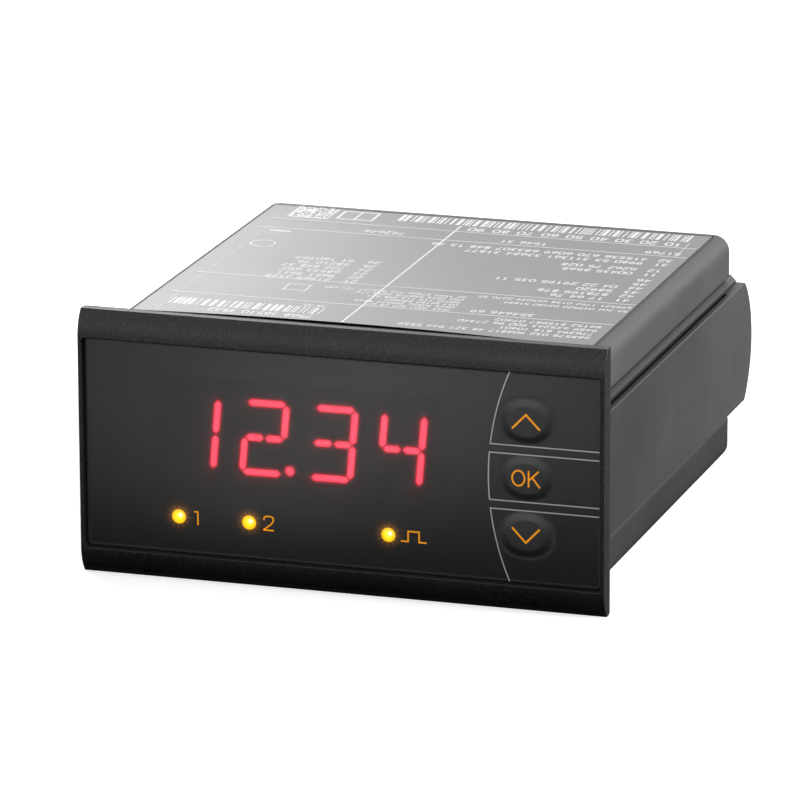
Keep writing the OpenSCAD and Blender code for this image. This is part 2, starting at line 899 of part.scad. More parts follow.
// Lays the signal board's parts out from its inner face, which faces down
module on_signal(x, y) {
    translate([x, y, board_z])
        mirror([0, 0, 1])
            children();
}

core_leg = 4.4;
core_span = core_size[0];
core_depth = core_size[1];
core_z = 4.4;
flange_over = 2;
bobbin_t = 1;
tube_t = 0.8;
foot_l = 3;

// A square bar round the core's middle leg, larger than it by the given margin
module core_sleeve(l, margin) {
    side = core_size[2] + 2 * margin;
    translate([-side / 2, -l / 2, core_z - margin])
        cube([side, l, side]);
}

module transformer_core() {
    color([0.15, 0.15, 0.16])
    on_power(core_at[0], core_at[1])
        translate([-core_span / 2, -core_depth / 2, core_z])
            difference() {
                cube([core_span, core_depth, core_size[2]]);
                for (x = [core_leg, core_span / 2 + core_size[2] / 2])
                    translate([x, core_leg, -1])
                        cube([core_span / 2 - core_size[2] / 2 - core_leg, core_depth - 2 * core_leg,
                              core_size[2] + 2]);
            }
}

module transformer_bobbin() {
    w = core_span - 2 * core_leg - 2 * seat_gap;
    d = core_depth - 2 * core_leg - 2 * seat_gap;
    color([0.12, 0.12, 0.12])
    on_power(core_at[0], core_at[1])
        difference() {
            union() {
                for (y = [-d / 2, d / 2 - bobbin_t])
                    translate([-w / 2, y, core_z - flange_over])
                        cube([w, bobbin_t, core_size[2] + 2 * flange_over]);
                core_sleeve(d, tube_t);
                for (y = [-d / 2, d / 2 - foot_l])
                    translate([-w / 2, y, 0])
                        cube([w, foot_l, core_z - flange_over]);
            }
            core_sleeve(d + 2, seat_gap / 2);
        }
}

module transformer_winding() {
    d = core_depth - 2 * core_leg - 2 * seat_gap - 2 * bobbin_t;
    w = core_span - 2 * core_leg - 0.8;
    color([0.8, 0.62, 0.2])
    on_power(core_at[0], core_at[1])
        difference() {
            translate([-w / 2, -d / 2, core_z - flange_over + seat_gap])
                cube([w, d, core_size[2] + 2 * (flange_over - seat_gap)]);
            core_sleeve(d + 2, tube_t);
        }
}

module output_relay(i) {
    color([0.1, 0.25, 0.5])
    on_power(relay_at[1] + (i - 0.5) * (relay_size[0] + relay_gap) - relay_size[0] / 2, relay_y)
        union() {
            cube(relay_size);
            translate([relay_size[0] / 2, 4, relay_size[2] - eps])
                cylinder(r = 0.9, h = 0.4, $fn = round_fn);
        }
}

cap_r = 6.2;
cap_l = 20.4;

// Half outline of a round can with a crimped neck
function can_outline(r, l) =
    [[0, 0], [r - 0.4, 0], [r, 0.4], [r, 1.4], [r - 0.4, 1.8], [r, 2.2], [r, l - 0.4], [r - 0.6, l], [0, l]];

module bulk_capacitor() {
    color([0.12, 0.12, 0.2])
    on_power(bulk_at[0], bulk_at[1])
        translate([0, 0, cap_r])
            rotate([-90, 0, 0])
                rotate_extrude($fn = round_fn)
                    polygon(can_outline(cap_r, cap_l));
}

module small_capacitors() {
    color([0.12, 0.12, 0.2])
    for (place = small_at)
        on_power(place[0], place[1])
            rotate_extrude($fn = round_fn)
                polygon(can_outline(small_r, small_l));
}

module fuse() {
    color([0.2, 0.15, 0.12])
    on_power(fuse_at[0], fuse_at[1])
        cylinder(r = fuse_r, h = fuse_h, $fn = round_fn);
}

module varistor() {
    color([0.1, 0.2, 0.5])
    on_power(varistor_at[0], varistor_at[1])
        translate([0, varistor_t / 2, varistor_r])
            rotate([90, 0, 0])
                cylinder(r = varistor_r, h = varistor_t, $fn = round_fn);
}

module signal_chips() {
    color([0.1, 0.1, 0.1])
    for (c = chips)
        on_signal(c[0], c[1])
            translate([-c[2] / 2, -c[3] / 2, 0])
                cube([c[2], c[3], c[4]]);
}

module isolators() {
    color([0.92, 0.92, 0.9])
    for (place = isolator_at)
        on_signal(place[0], place[1])
            translate([-isolator_size[0] / 2, -isolator_size[1] / 2, 0])
                cube(isolator_size);
}

// ---------- plug-in terminals ----------

function header_w(n) = n * pole_pitch + 2 * header_wall;
function plug_w(n) = n * pole_pitch + 0.6;
function pole_x(n, i) = (i - (n - 1) / 2) * pole_pitch;

// Puts a terminal block in its place, the lower row turned over
module at_terminal(t) {
    mirror([0, 0, t[2] < 0 ? 1 : 0])
        translate([t[1], 0, header_z])
            children();
}

module header(t) {
    n = t[0];
    at_terminal(t)
        difference() {
            along_y(header_front, header_back)
                square([header_w(n), header_h], center = true);
            along_y(header_floor, header_back + 1)
                square([header_w(n) - 2 * header_wall, header_h - 2 * header_wall], center = true);
            for (i = [0 : n - 1])
                translate([pole_x(n, i), 0, 0])
                    along_y(header_front - 1, header_floor + 1)
                        square(pin_w, center = true);
        }
}

module header_pins() {
    color([0.8, 0.8, 0.78])
    for (t = terminals, i = [0 : t[0] - 1])
        at_terminal(t)
            translate([pole_x(t[0], i), 0, 0]) {
                along_y(pin_drop_y, header_floor + pin_reach)
                    square(pin_w, center = true);
                block([-pin_w / 2, pin_drop_y, -pin_w / 2],
                      [pin_w / 2, pin_drop_y + pin_w, header_h / 2 + board_t + 1]);
            }
}

// Cut for one pole: pin hole, wire entry, room for the clamp and the screw
module pole_cuts() {
    along_y(nose_front - 1, cage_y + 1)
        square(pin_w + 0.5, center = true);
    translate([0, 0, entry_z])
        along_y(cage_y + 1, plug_back + 1)
            square([entry_w, entry_w], center = true);
    block([-cage_w / 2 - 0.05, cage_y - 0.05, entry_z - cage_w / 2 - 0.05],
          [cage_w / 2 + 0.05, cage_y + cage_l + 0.05, entry_z + cage_w / 2 + 0.05]);
    block([-cage_w / 2 - 0.05, cage_y - 0.05, entry_z + cage_w / 2 - 0.1],
          [cage_w / 2 + 0.05, cage_y + yoke_t + 0.05, screw_z + 2.05]);
    bar(0, screw_z, shank_r + 0.15, cage_y - 1.2, plug_back - head_sink - head_t + 0.5);
    bar(0, screw_z, head_r + 0.15, plug_back - head_sink - head_t, plug_back + 1);
}

module plug(t) {
    n = t[0];
    at_terminal(t)
        difference() {
            union() {
                along_y(plug_front, plug_back)
                    rounded(plug_w(n), plug_h, 0.5);
                along_y(nose_front, plug_front + eps)
                    square([header_w(n) - 2 * header_wall - 2 * fit_gap, nose_h], center = true);
            }
            for (i = [0 : n - 1])
                translate([pole_x(n, i), 0, 0])
                    pole_cuts();
            for (i = [1 : n - 1])
                translate([pole_x(n, i) - pole_pitch / 2, 0, 0])
                    along_y(plug_back - 1, plug_back + 1)
                        square([0.5, plug_h + 1], center = true);
        }
}

module plug_clamps(t) {
    color([0.8, 0.75, 0.5])
    at_terminal(t)
        for (i = [0 : t[0] - 1])
            translate([pole_x(t[0], i), 0, 0])
                difference() {
                    union() {
                        translate([0, 0, entry_z])
                            along_y(cage_y, cage_y + cage_l)
                                square(cage_w, center = true);
                        block([-cage_w / 2, cage_y, entry_z], [cage_w / 2, cage_y + yoke_t, screw_z + 2]);
                    }
                    translate([0, 0, entry_z])
                        along_y(cage_y + yoke_t, cage_y + cage_l + 1)
                            square(entry_w, center = true);
                    bar(0, screw_z, shank_r + 0.05, cage_y - 1, cage_y + yoke_t + 1);
                }
}

module plug_screws(t) {
    color([0.75, 0.75, 0.77])
    at_terminal(t)
        for (i = [0 : t[0] - 1])
            translate([pole_x(t[0], i), 0, 0])
                difference() {
                    union() {
                        bar(0, screw_z, shank_r, cage_y - 1, plug_back - head_sink - head_t + eps);
                        bar(0, screw_z, head_r, plug_back - head_sink - head_t, plug_back - head_sink);
                    }
                    translate([0, plug_back - head_sink, screw_z])
                        cube([3 * head_r, 1.4, 0.6], center = true);
                }
}

module header_plastic() {
    color([0.12, 0.12, 0.13])
    children();
}

module plug_plastic() {
    color([0.14, 0.14, 0.15])
    children();
}

front_bezel();
panel_gasket();
front_film();
display_window();
indicator_lenses();
key_pad(key_z[0]);  // key_up
key_pad(key_z[1]);  // key_ok
key_pad(key_z[2]);  // key_down
key_plunger(key_z[0]);  // plunger_up
key_plunger(key_z[1]);  // plunger_ok
key_plunger(key_z[2]);  // plunger_down
key_switches();
status_lamp(0);  // status_lamp_1
status_lamp(1);  // status_lamp_2
status_lamp(2);  // status_lamp_3
digit(0);  // digit_1
digit(1);  // digit_2
digit(2);  // digit_3
digit(3);  // digit_4
lit_segments();
dark_segments();
display_board();
board_screws();
display_driver();
housing();
top_label();
clamp_left();
clamp_right();
signal_board();
power_board();
board_links();
link_pins();
transformer_core();
transformer_bobbin();
transformer_winding();
output_relay(0);  // output_relay_1
output_relay(1);  // output_relay_2
bulk_capacitor();
small_capacitors();
fuse();
varistor();
signal_chips();
isolators();
header_plastic() header(input_at);  // input_header
header_plastic() header(output_at);  // output_header
header_plastic() header(relay_at);  // relay_header
header_plastic() header(supply_at);  // supply_header
header_pins();
plug_plastic() plug(input_at);  // input_plug
plug_plastic() plug(output_at);  // output_plug
plug_plastic() plug(relay_at);  // relay_plug
plug_plastic() plug(supply_at);  // supply_plug
plug_clamps(input_at);  // input_clamps
plug_clamps(output_at);  // output_clamps
plug_clamps(relay_at);  // relay_clamps
plug_clamps(supply_at);  // supply_clamps
plug_screws(input_at);  // input_screws
plug_screws(output_at);  // output_screws
plug_screws(relay_at);  // relay_screws
plug_screws(supply_at);  // supply_screws
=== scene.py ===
import math

import bpy
import numpy as np
from mathutils import Matrix, Vector


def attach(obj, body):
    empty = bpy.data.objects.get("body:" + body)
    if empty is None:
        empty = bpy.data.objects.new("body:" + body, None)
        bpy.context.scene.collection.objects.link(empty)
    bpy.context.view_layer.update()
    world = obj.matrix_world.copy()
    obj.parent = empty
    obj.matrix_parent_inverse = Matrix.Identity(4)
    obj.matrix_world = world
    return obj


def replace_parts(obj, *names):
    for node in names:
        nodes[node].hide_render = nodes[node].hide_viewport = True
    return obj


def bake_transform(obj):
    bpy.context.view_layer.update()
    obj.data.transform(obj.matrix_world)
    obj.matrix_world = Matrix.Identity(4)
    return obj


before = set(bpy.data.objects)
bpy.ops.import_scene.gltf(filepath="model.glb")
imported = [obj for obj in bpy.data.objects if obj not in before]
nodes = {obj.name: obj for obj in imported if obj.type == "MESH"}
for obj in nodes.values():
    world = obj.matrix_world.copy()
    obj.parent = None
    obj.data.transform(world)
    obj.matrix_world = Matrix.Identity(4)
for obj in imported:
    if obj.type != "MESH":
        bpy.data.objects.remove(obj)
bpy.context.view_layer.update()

mm = 0.001
bpy.context.view_layer.update()
print("frame loaded:", len(nodes), "CAD nodes")


def nodeBox(name):
    # The lowest and the highest corner of a CAD node, in mm.
    item = nodes[name]
    corners = np.array([item.matrix_world @ Vector(corner) for corner in item.bound_box]) / mm
    return corners.min(axis=0), corners.max(axis=0)


def gridFaces(rows, columns, closed=False):
    # Quads of a grid of rows x columns points. A closed grid joins each row into a ring.
    row, column = np.meshgrid(np.arange(rows - 1), np.arange(columns - (not closed)), indexing="ij")
    following = (column + 1) % columns
    quads = [row * columns + column, row * columns + following,
             (row + 1) * columns + following, (row + 1) * columns + column]
    return np.stack(quads, axis=-1).reshape(-1, 4)


def meshPiece(name, points, faces, material, smooth=True, **attributes):
    # A piece from points in mm and faces; each attribute holds one number per point.
    mesh = bpy.data.meshes.new(name)
    mesh.from_pydata((np.asarray(points, float) * mm).tolist(), [], [list(face) for face in faces])
    mesh.polygons.foreach_set("use_smooth", np.full(len(mesh.polygons), smooth))
    for key, values in attributes.items():
        layer = mesh.attributes.new(key, "FLOAT", "POINT")
        layer.data.foreach_set("value", np.asarray(values, np.float32).ravel())
    mesh.materials.append(material)
    mesh.update()
    piece = bpy.data.objects.new(name, mesh)
    bpy.context.scene.collection.objects.link(piece)
    return piece


def rideOn(piece, body):
    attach(piece, body)
    return piece


def smoothStep(low, high, value):
    # 0 below low, 1 above high, and a cubic with level ends between them.
    t = np.clip((value - low) / (high - low), 0, 1)
    return t * t * (3 - 2 * t)


def strokeStrip(path, width, closed=False):
    # A strip of even width along a path: each point moves half the width to both sides,
    # along the mean of its two neighbours' normals, and further where the path turns.
    # The limit keeps sharp corners from running out into spikes.
    limit = 0.35
    path = np.asarray(path, float)
    ahead = np.roll(path, -1, axis=0) - path
    if not closed:
        ahead[-1] = ahead[-2]
    ahead /= np.linalg.norm(ahead, axis=1, keepdims=True)
    behind = np.roll(ahead, 1, axis=0)
    if not closed:
        behind[0] = ahead[0]
    mean = ahead + behind
    mean /= np.linalg.norm(mean, axis=1, keepdims=True)
    reach = width / 2 / np.clip((mean * ahead).sum(axis=1, keepdims=True), limit, 1)
    side = np.stack([-mean[:, 1], mean[:, 0]], axis=1) * reach
    points = np.stack([path + side, path - side], axis=1).reshape(-1, 2)
    faces = gridFaces(len(path), 2)
    if closed:
        last = 2 * len(path)
        faces = np.vstack([faces, [[last - 2, last - 1, 1, 0]]])
    return points, faces


def resample(path, step):
    # The same path with points no further apart than step, its corners kept.
    path = np.asarray(path, float)
    parts = []
    for start, end in zip(path[:-1], path[1:]):
        count = max(1, int(math.ceil(np.linalg.norm(end - start) / step)))
        parts.append(start + (end - start) * np.arange(count)[:, None] / count)
    return np.vstack(parts + [path[-1:]])


def oval(centreX, centreZ, halfWide, halfHigh, count=48):
    turn = np.linspace(0, 2 * np.pi, count, endpoint=False)
    return np.stack([centreX + halfWide * np.cos(turn), centreZ + halfHigh * np.sin(turn)], axis=1)


def bend(points, count=10):
    # A smooth path through a few corner points: each inner corner becomes a quadratic curve.
    points = np.asarray(points, float)
    t = np.linspace(0, 1, count)[:, None]
    path = [points[:1]]
    for i in range(1, len(points) - 1):
        start = (points[i - 1] + points[i]) / 2 if i > 1 else points[0]
        end = (points[i] + points[i + 1]) / 2 if i < len(points) - 2 else points[-1]
        path.append((1 - t) ** 2 * start + 2 * t * (1 - t) * points[i] + t ** 2 * end)
    path = np.vstack(path)
    apart = np.linalg.norm(np.diff(path, axis=0), axis=1) > 1e-6
    return path[np.r_[True, apart]]


def joinStrips(strips):
    # Several strips as one set of points and faces.
    points, faces, start = [], [], 0
    for stripPoints, stripFaces in strips:
        points.append(stripPoints)
        faces.append(np.asarray(stripFaces) + start)
        start += len(stripPoints)
    return np.vstack(points), np.vstack(faces)


def addNode(tree, kind, **values):
    # A shader node with its settings or sockets filled in by name.
    item = tree.nodes.new(kind)
    for key, value in values.items():
        if hasattr(item, key):
            setattr(item, key, value)
        else:
            item.inputs[key.replace("_", " ")].default_value = value
    return item


def fill(tree, socket, value):
    # Links an output to a socket, or sets a number or a colour on it.
    if isinstance(value, (int, float)):
        socket.default_value = value
    elif isinstance(value, tuple):
        socket.default_value = (*value, 1)
    else:
        tree.links.new(value, socket)


def mathNode(tree, operation, first, second, clamp=False):
    item = tree.nodes.new("ShaderNodeMath")
    item.operation = operation
    item.use_clamp = clamp
    fill(tree, item.inputs[0], first)
    fill(tree, item.inputs[1], second)
    return item.outputs[0]


def vectorNode(tree, operation, first, second):
    item = tree.nodes.new("ShaderNodeVectorMath")
    item.operation = operation
    tree.links.new(first, item.inputs[0])
    item.inputs[1].default_value = second
    return item


def mixColour(tree, factor, first, second, blend="MIX"):
    item = tree.nodes.new("ShaderNodeMix")
    item.data_type = "RGBA"
    item.blend_type = blend
    fill(tree, item.inputs[0], factor)
    fill(tree, item.inputs[6], first)
    fill(tree, item.inputs[7], second)
    return item.outputs[2]


def rangeNode(tree, value, low, high, toLow=0.0, toHigh=1.0, smooth=False):
    item = tree.nodes.new("ShaderNodeMapRange")
    item.interpolation_type = "SMOOTHSTEP" if smooth else "LINEAR"
    tree.links.new(value, item.inputs["Value"])
    for key, number in (("From Min", low), ("From Max", high), ("To Min", toLow), ("To Max", toHigh)):
        item.inputs[key].default_value = number
    return item.outputs["Result"]


def attribute(tree, name):
    return addNode(tree, "ShaderNodeAttribute", attribute_name=name).outputs["Fac"]


def newGroup(name, inputs, outputs):
    group = bpy.data.node_groups.new(name, "ShaderNodeTree")
    for key in inputs:
        group.interface.new_socket(key, in_out="INPUT", socket_type="NodeSocketFloat")
    for key, kind in outputs.items():
        group.interface.new_socket(key, in_out="OUTPUT", socket_type="NodeSocket" + kind)
    return group, group.nodes.new("NodeGroupInput"), group.nodes.new("NodeGroupOutput")


textures = {
    "fine": dict(Detail=2.0, Roughness=0.6), "points": dict(Detail=1.0, Roughness=0.5), "pointScale": 0.77,
    "slow": dict(Detail=3.0, Roughness=0.55, Scale=38.0), "speckle": (0.47, 0.7), "blotch": (0.3, 0.7),
    "edge": (0.99, 0.8), "facing": (0.3, 0.95), "dust": dict(Scale=420.0, Detail=4.0, Roughness=0.7),
    "patch": (0.45, 0.8), "open": (0.45, 1.0), "samples": 6,
}


def objectPlace(tree):
    return addNode(tree, "ShaderNodeTexCoord").outputs["Object"]


def splitVector(tree, value):
    item = addNode(tree, "ShaderNodeSeparateXYZ")
    tree.links.new(value, item.inputs[0])
    return item.outputs


def grainGroup():
    # Moulded grain: fine bumps, bright points, and slow blotches over the whole piece.
    group, entry, leave = newGroup("mouldedGrain", ["Scale"],
                                   {"Height": "Float", "Speckle": "Float", "Blotch": "Float"})
    place = objectPlace(group)
    fine, points, slow = [addNode(group, "ShaderNodeTexNoise", **textures[key])
                          for key in ("fine", "points", "slow")]
    for item in (fine, points, slow):
        group.links.new(place, item.inputs["Vector"])
    scale = entry.outputs["Scale"]
    group.links.new(scale, fine.inputs["Scale"])
    group.links.new(mathNode(group, "MULTIPLY", scale, textures["pointScale"]), points.inputs["Scale"])
    group.links.new(fine.outputs[0], leave.inputs["Height"])
    group.links.new(rangeNode(group, points.outputs[0], *textures["speckle"]), leave.inputs["Speckle"])
    group.links.new(rangeNode(group, slow.outputs[0], *textures["blotch"]), leave.inputs["Blotch"])
    return group


def edgeGroup():
    # Rounded edges: the bevelled normal, and how far it turns from the true one.
    group, entry, leave = newGroup("softEdges", ["Radius"], {"Normal": "Vector", "Edge": "Float"})
    bevel = addNode(group, "ShaderNodeBevel", samples=textures["samples"])
    group.links.new(entry.outputs["Radius"], bevel.inputs["Radius"])
    true = addNode(group, "ShaderNodeNewGeometry").outputs["Normal"]
    dot = addNode(group, "ShaderNodeVectorMath", operation="DOT_PRODUCT")
    group.links.new(bevel.outputs[0], dot.inputs[0])
    group.links.new(true, dot.inputs[1])
    group.links.new(bevel.outputs[0], leave.inputs["Normal"])
    group.links.new(rangeNode(group, dot.outputs["Value"], *textures["edge"]), leave.inputs["Edge"])
    return group


def dustGroup():
    # A little dust: only on what faces up, and patchy.
    group, entry, leave = newGroup("lightDust", ["Amount"], {"Mask": "Float"})
    normal = splitVector(group, addNode(group, "ShaderNodeNewGeometry").outputs["Normal"])
    facing = rangeNode(group, normal["Z"], *textures["facing"])
    patches = addNode(group, "ShaderNodeTexNoise", **textures["dust"])
    group.links.new(objectPlace(group), patches.inputs["Vector"])
    patch = rangeNode(group, patches.outputs[0], *textures["patch"])
    amount = mathNode(group, "MULTIPLY", mathNode(group, "MULTIPLY", facing, patch), entry.outputs["Amount"])
    group.links.new(amount, leave.inputs["Mask"])
    return group


def creviceGroup():
    # Painted shade in gaps and inner corners, from ambient occlusion: 1 in the open, 0 deep inside.
    group, entry, leave = newGroup("creviceShade", ["Reach"], {"Open": "Float"})
    hidden = addNode(group, "ShaderNodeAmbientOcclusion", samples=textures["samples"])
    group.links.new(entry.outputs["Reach"], hidden.inputs["Distance"])
    group.links.new(rangeNode(group, hidden.outputs["AO"], *textures["open"]), leave.inputs["Open"])
    return group


groups = {"grain": grainGroup(), "edge": edgeGroup(), "dust": dustGroup(), "crevice": creviceGroup()}


def useGroup(tree, key, **values):
    item = tree.nodes.new("ShaderNodeGroup")
    item.node_tree = groups[key]
    for name, value in values.items():
        item.inputs[name].default_value = value
    return item.outputs


def startMaterial(name):
    material = bpy.data.materials.new(name)
    material.use_nodes = True
    tree = material.node_tree
    return material, tree, tree.nodes["Principled BSDF"]


def addBump(tree, shader, height, depth, normal=None):
    # Bumps of a depth in mm, over a softened normal where one is given.
    bump = addNode(tree, "ShaderNodeBump", Strength=1.0, Distance=depth * mm)
    tree.links.new(height, bump.inputs["Height"])
    if normal:
        tree.links.new(normal, bump.inputs["Normal"])
    tree.links.new(bump.outputs[0], shader.inputs["Normal"])


mould = {"deep": 0.04, "brighter": 1.6, "brightFrom": 0.06, "dust": (0.5, 0.49, 0.47), "gloss": (-0.04, 0.05)}


def moulded(name, colour, lighter=1.35, roughness=0.5, grain=5200.0, depth=0.012, speckle=0.0,
            edgeRadius=0.25, edgeLight=0.25, dust=0.04, crevice=2.5, specular=0.5, metal=0.0, coat=0.0,
            paintedShading=None):
    # Moulded plastic or metal: grain, blotches, bright points, painted highlights on edges, dust and painted
    # shade in crevices.
    # The last argument paints light and shade along an axis: the axis, its low and high place in mm, and how
    # light the colour is at each.
    material, tree, shader = startMaterial(name)
    grainOut = useGroup(tree, "grain", Scale=grain)
    edgeOut = useGroup(tree, "edge", Radius=edgeRadius * mm)
    dustOut = useGroup(tree, "dust", Amount=dust)
    openness = useGroup(tree, "crevice", Reach=crevice * mm)["Open"]
    light = tuple(min(1, c * lighter) for c in colour)
    bright = tuple(min(1, c * mould["brighter"] + mould["brightFrom"]) for c in colour)
    deep = tuple(c * mould["deep"] for c in colour)
    base = mixColour(tree, grainOut["Blotch"], colour, light)
    base = mixColour(tree, mathNode(tree, "MULTIPLY", grainOut["Speckle"], speckle), base, bright)
    # Painted highlight: edges lighten by edgeLight.
    base = mixColour(tree, mathNode(tree, "MULTIPLY", edgeOut["Edge"], edgeLight), base, bright)
    base = mixColour(tree, dustOut["Mask"], base, mould["dust"])
    # Painted light and shade: the colour is scaled along one axis.
    if paintedShading:
        axis, low, high, first, last = paintedShading
        level = rangeNode(tree, splitVector(tree, objectPlace(tree))[axis], low * mm, high * mm, first, last)
        base = mixColour(tree, 1.0, base, level, blend="MULTIPLY")
    # Painted shade: crevices and inner corners darken towards the deep colour.
    base = mixColour(tree, openness, deep, base)
    tree.links.new(base, shader.inputs["Base Color"])
    least, most = mould["gloss"]
    gloss = rangeNode(tree, grainOut["Blotch"], 0, 1, roughness + least, roughness + most)
    closed = rangeNode(tree, openness, 0, 1, 1, 0)
    tree.links.new(mathNode(tree, "MAXIMUM", gloss, closed), shader.inputs["Roughness"])
    shader.inputs["Specular IOR Level"].default_value = specular
    addBump(tree, shader, grainOut["Height"], depth, edgeOut["Normal"])
    shader.inputs["Metallic"].default_value = metal
    shader.inputs["Coat Weight"].default_value = coat
    return material


def dress(material, *names):
    # Puts a material on CAD nodes.
    for name in names:
        nodes[name].data.materials.clear()
        nodes[name].data.materials.append(material)


# The housing is painted lighter high and darker low, and the clamps lighter towards the rear, as painted
# light and shade.
shell = {
    "bezel": dict(colour=(0.0085, 0.0087, 0.0091), lighter=1.3, roughness=0.42, grain=4600.0, depth=0.045,
                  speckle=0.6, edgeRadius=0.25, edgeLight=0.9, dust=0.01, crevice=1.5, specular=0.36),
    "gasket": dict(colour=(0.004, 0.004, 0.004), roughness=0.75, dust=0.0),
    "housing": dict(colour=(0.057, 0.058, 0.059), lighter=1.15, roughness=0.42, grain=4500.0, depth=0.012,
                    speckle=0.12, edgeRadius=0.3, edgeLight=0.3, dust=0.02, crevice=2.5,
                    specular=0.3, paintedShading=("Z", -20, 20, 0.5, 1.36)),
    "clamp": dict(colour=(0.048, 0.0485, 0.0495), lighter=1.2, roughness=0.4, grain=4500.0, depth=0.01,
                  speckle=0.1, edgeRadius=0.25, edgeLight=0.1, dust=0.02, crevice=2.5,
                  specular=0.3, paintedShading=("Y", 5, 90, 0.8, 1.34)),
    "plug": dict(colour=(0.012, 0.012, 0.013), roughness=0.45, speckle=0.1, edgeRadius=0.2, edgeLight=0.3,
                 dust=0.03),
    "header": dict(colour=(0.009, 0.009, 0.01), roughness=0.5, dust=0.02),
    "screw": dict(colour=(0.55, 0.55, 0.53), roughness=0.32, depth=0.004, metal=1.0, edgeRadius=0.1,
                  dust=0.0),
    "cage": dict(colour=(0.5, 0.48, 0.43), roughness=0.38, depth=0.004, metal=1.0, edgeRadius=0.1,
                 dust=0.0),
    "pin": dict(colour=(0.6, 0.57, 0.5), roughness=0.3, depth=0.003, metal=1.0, edgeRadius=0.1),
    "copper": dict(colour=(0.6, 0.25, 0.09), roughness=0.35, grain=3000.0, depth=0.03, metal=1.0),
    "board": dict(colour=(0.01, 0.055, 0.025), lighter=1.6, roughness=0.35, grain=3000.0, depth=0.01,
                  coat=0.3),
    "chip": dict(colour=(0.012, 0.012, 0.012), roughness=0.6),
    "relay": dict(colour=(0.02, 0.04, 0.12), roughness=0.35, grain=4000.0),
    "ferrite": dict(colour=(0.02, 0.02, 0.021), roughness=0.7, grain=4000.0, depth=0.03),
    "blue": dict(colour=(0.02, 0.06, 0.2), roughness=0.4, grain=4000.0),
    "white": dict(colour=(0.6, 0.6, 0.57), lighter=1.1, roughness=0.5, grain=4000.0),
    "digitFace": dict(colour=(0.012, 0.0105, 0.011), roughness=0.6, edgeLight=0.0, dust=0.0),
    "segmentDark": dict(colour=(0.013, 0.011, 0.0115), roughness=0.5, edgeLight=0.0, dust=0.0),
}
finish = {key: moulded(key, **look) for key, look in shell.items()}
dress(finish["bezel"], "front_bezel")
dress(finish["gasket"], "panel_gasket", "plunger_up", "plunger_ok", "plunger_down")
dress(finish["housing"], "housing")
dress(finish["clamp"], "clamp_left", "clamp_right")
dress(finish["plug"], "input_plug", "output_plug", "relay_plug", "supply_plug")
dress(finish["header"], "input_header", "output_header", "relay_header", "supply_header", "board_links",
      "transformer_bobbin", "fuse")
dress(finish["screw"], "input_screws", "output_screws", "relay_screws", "supply_screws", "board_screws",
      "key_switches")
dress(finish["cage"], "input_clamps", "output_clamps", "relay_clamps", "supply_clamps")
dress(finish["pin"], "header_pins", "link_pins")
dress(finish["copper"], "transformer_winding")
dress(finish["board"], "display_board", "signal_board", "power_board")
dress(finish["chip"], "display_driver", "signal_chips")
dress(finish["relay"], "output_relay_1", "output_relay_2", "bulk_capacitor", "small_capacitors")
dress(finish["ferrite"], "transformer_core")
dress(finish["blue"], "varistor")
dress(finish["white"], "isolators")
dress(finish["digitFace"], "digit_1", "digit_2", "digit_3", "digit_4")
dress(finish["segmentDark"], "dark_segments")
print("finishes placed:", len(finish))


# The bars have the CAD's outlines: 0 to 5 clockwise from the top bar, 6 and 7 the halves of the middle one.
display = {
    "figureAt": (-0.6, -0.2), "figureWide": 7.2, "figureHigh": 12.65, "lean": 5.0, "half": 0.6, "gap": 0.14,
    "lit": {1: [1, 2], 2: [0, 1, 6, 7, 4, 3], 3: [0, 1, 2, 3, 6, 7], 4: [5, 1, 2, 6, 7]},
    "point": (4.62, -5.62), "pointRadius": 0.82, "pointAfter": 2,
    "light": (1.0, 0.066, 0.125), "strength": 8.2, "dim": 0.88, "dimRange": (0.2, 0.8),
    "grain": 3500.0, "roughness": 0.4,
    "halo": (0.22, 0.002, 0.018), "haloLevel": 0.11, "haloReach": 1.4,
    "window": (0.028, 0.0285, 0.029), "windowSoft": 0.3, "windowAlpha": 0.86,
    "spill": (1.0, 0.006, 0.03), "spillStrength": 4.0, "spillOut": 0.17, "spillIn": 0.09, "spillStep": 0.16,
    "spillOver": 0.04,
}


def glowing(name, colour, strength):
    # A lit plastic face: even light, a little weaker in slow blotches.
    material, tree, shader = startMaterial(name)
    grainOut = useGroup(tree, "grain", Scale=display["grain"])
    shade = rangeNode(tree, grainOut["Height"], *display["dimRange"], display["dim"], 1.0)
    dim = tuple(c * display["dim"] for c in colour)
    tree.links.new(mixColour(tree, shade, dim, colour), shader.inputs["Emission Color"])
    shader.inputs["Emission Strength"].default_value = strength
    shader.inputs["Base Color"].default_value = (*colour, 1)
    shader.inputs["Roughness"].default_value = display["roughness"]
    return material


dress(glowing("segmentLight", display["light"], display["strength"]), "lit_segments")


def figureCentre(place):
    # Middle of a figure's bars across and up, in mm.
    low, high = nodeBox("digit_%d" % place)
    return (low + high)[[0, 2]] / 2 + display["figureAt"]


def litBars():
    # For each lit bar: its figure's centre and its two ends measured from there, in mm.
    halfX, halfZ = display["figureWide"] / 2, display["figureHigh"] / 2
    ends = [[-halfX, halfZ, halfX, halfZ], [halfX, halfZ, halfX, 0], [halfX, 0, halfX, -halfZ],
            [-halfX, -halfZ, halfX, -halfZ], [-halfX, -halfZ, -halfX, 0], [-halfX, 0, -halfX, halfZ],
            [-halfX, 0, 0, 0], [0, 0, halfX, 0]]
    return np.array([[*figureCentre(place), *ends[number]]
                     for place, numbers in display["lit"].items() for number in numbers])


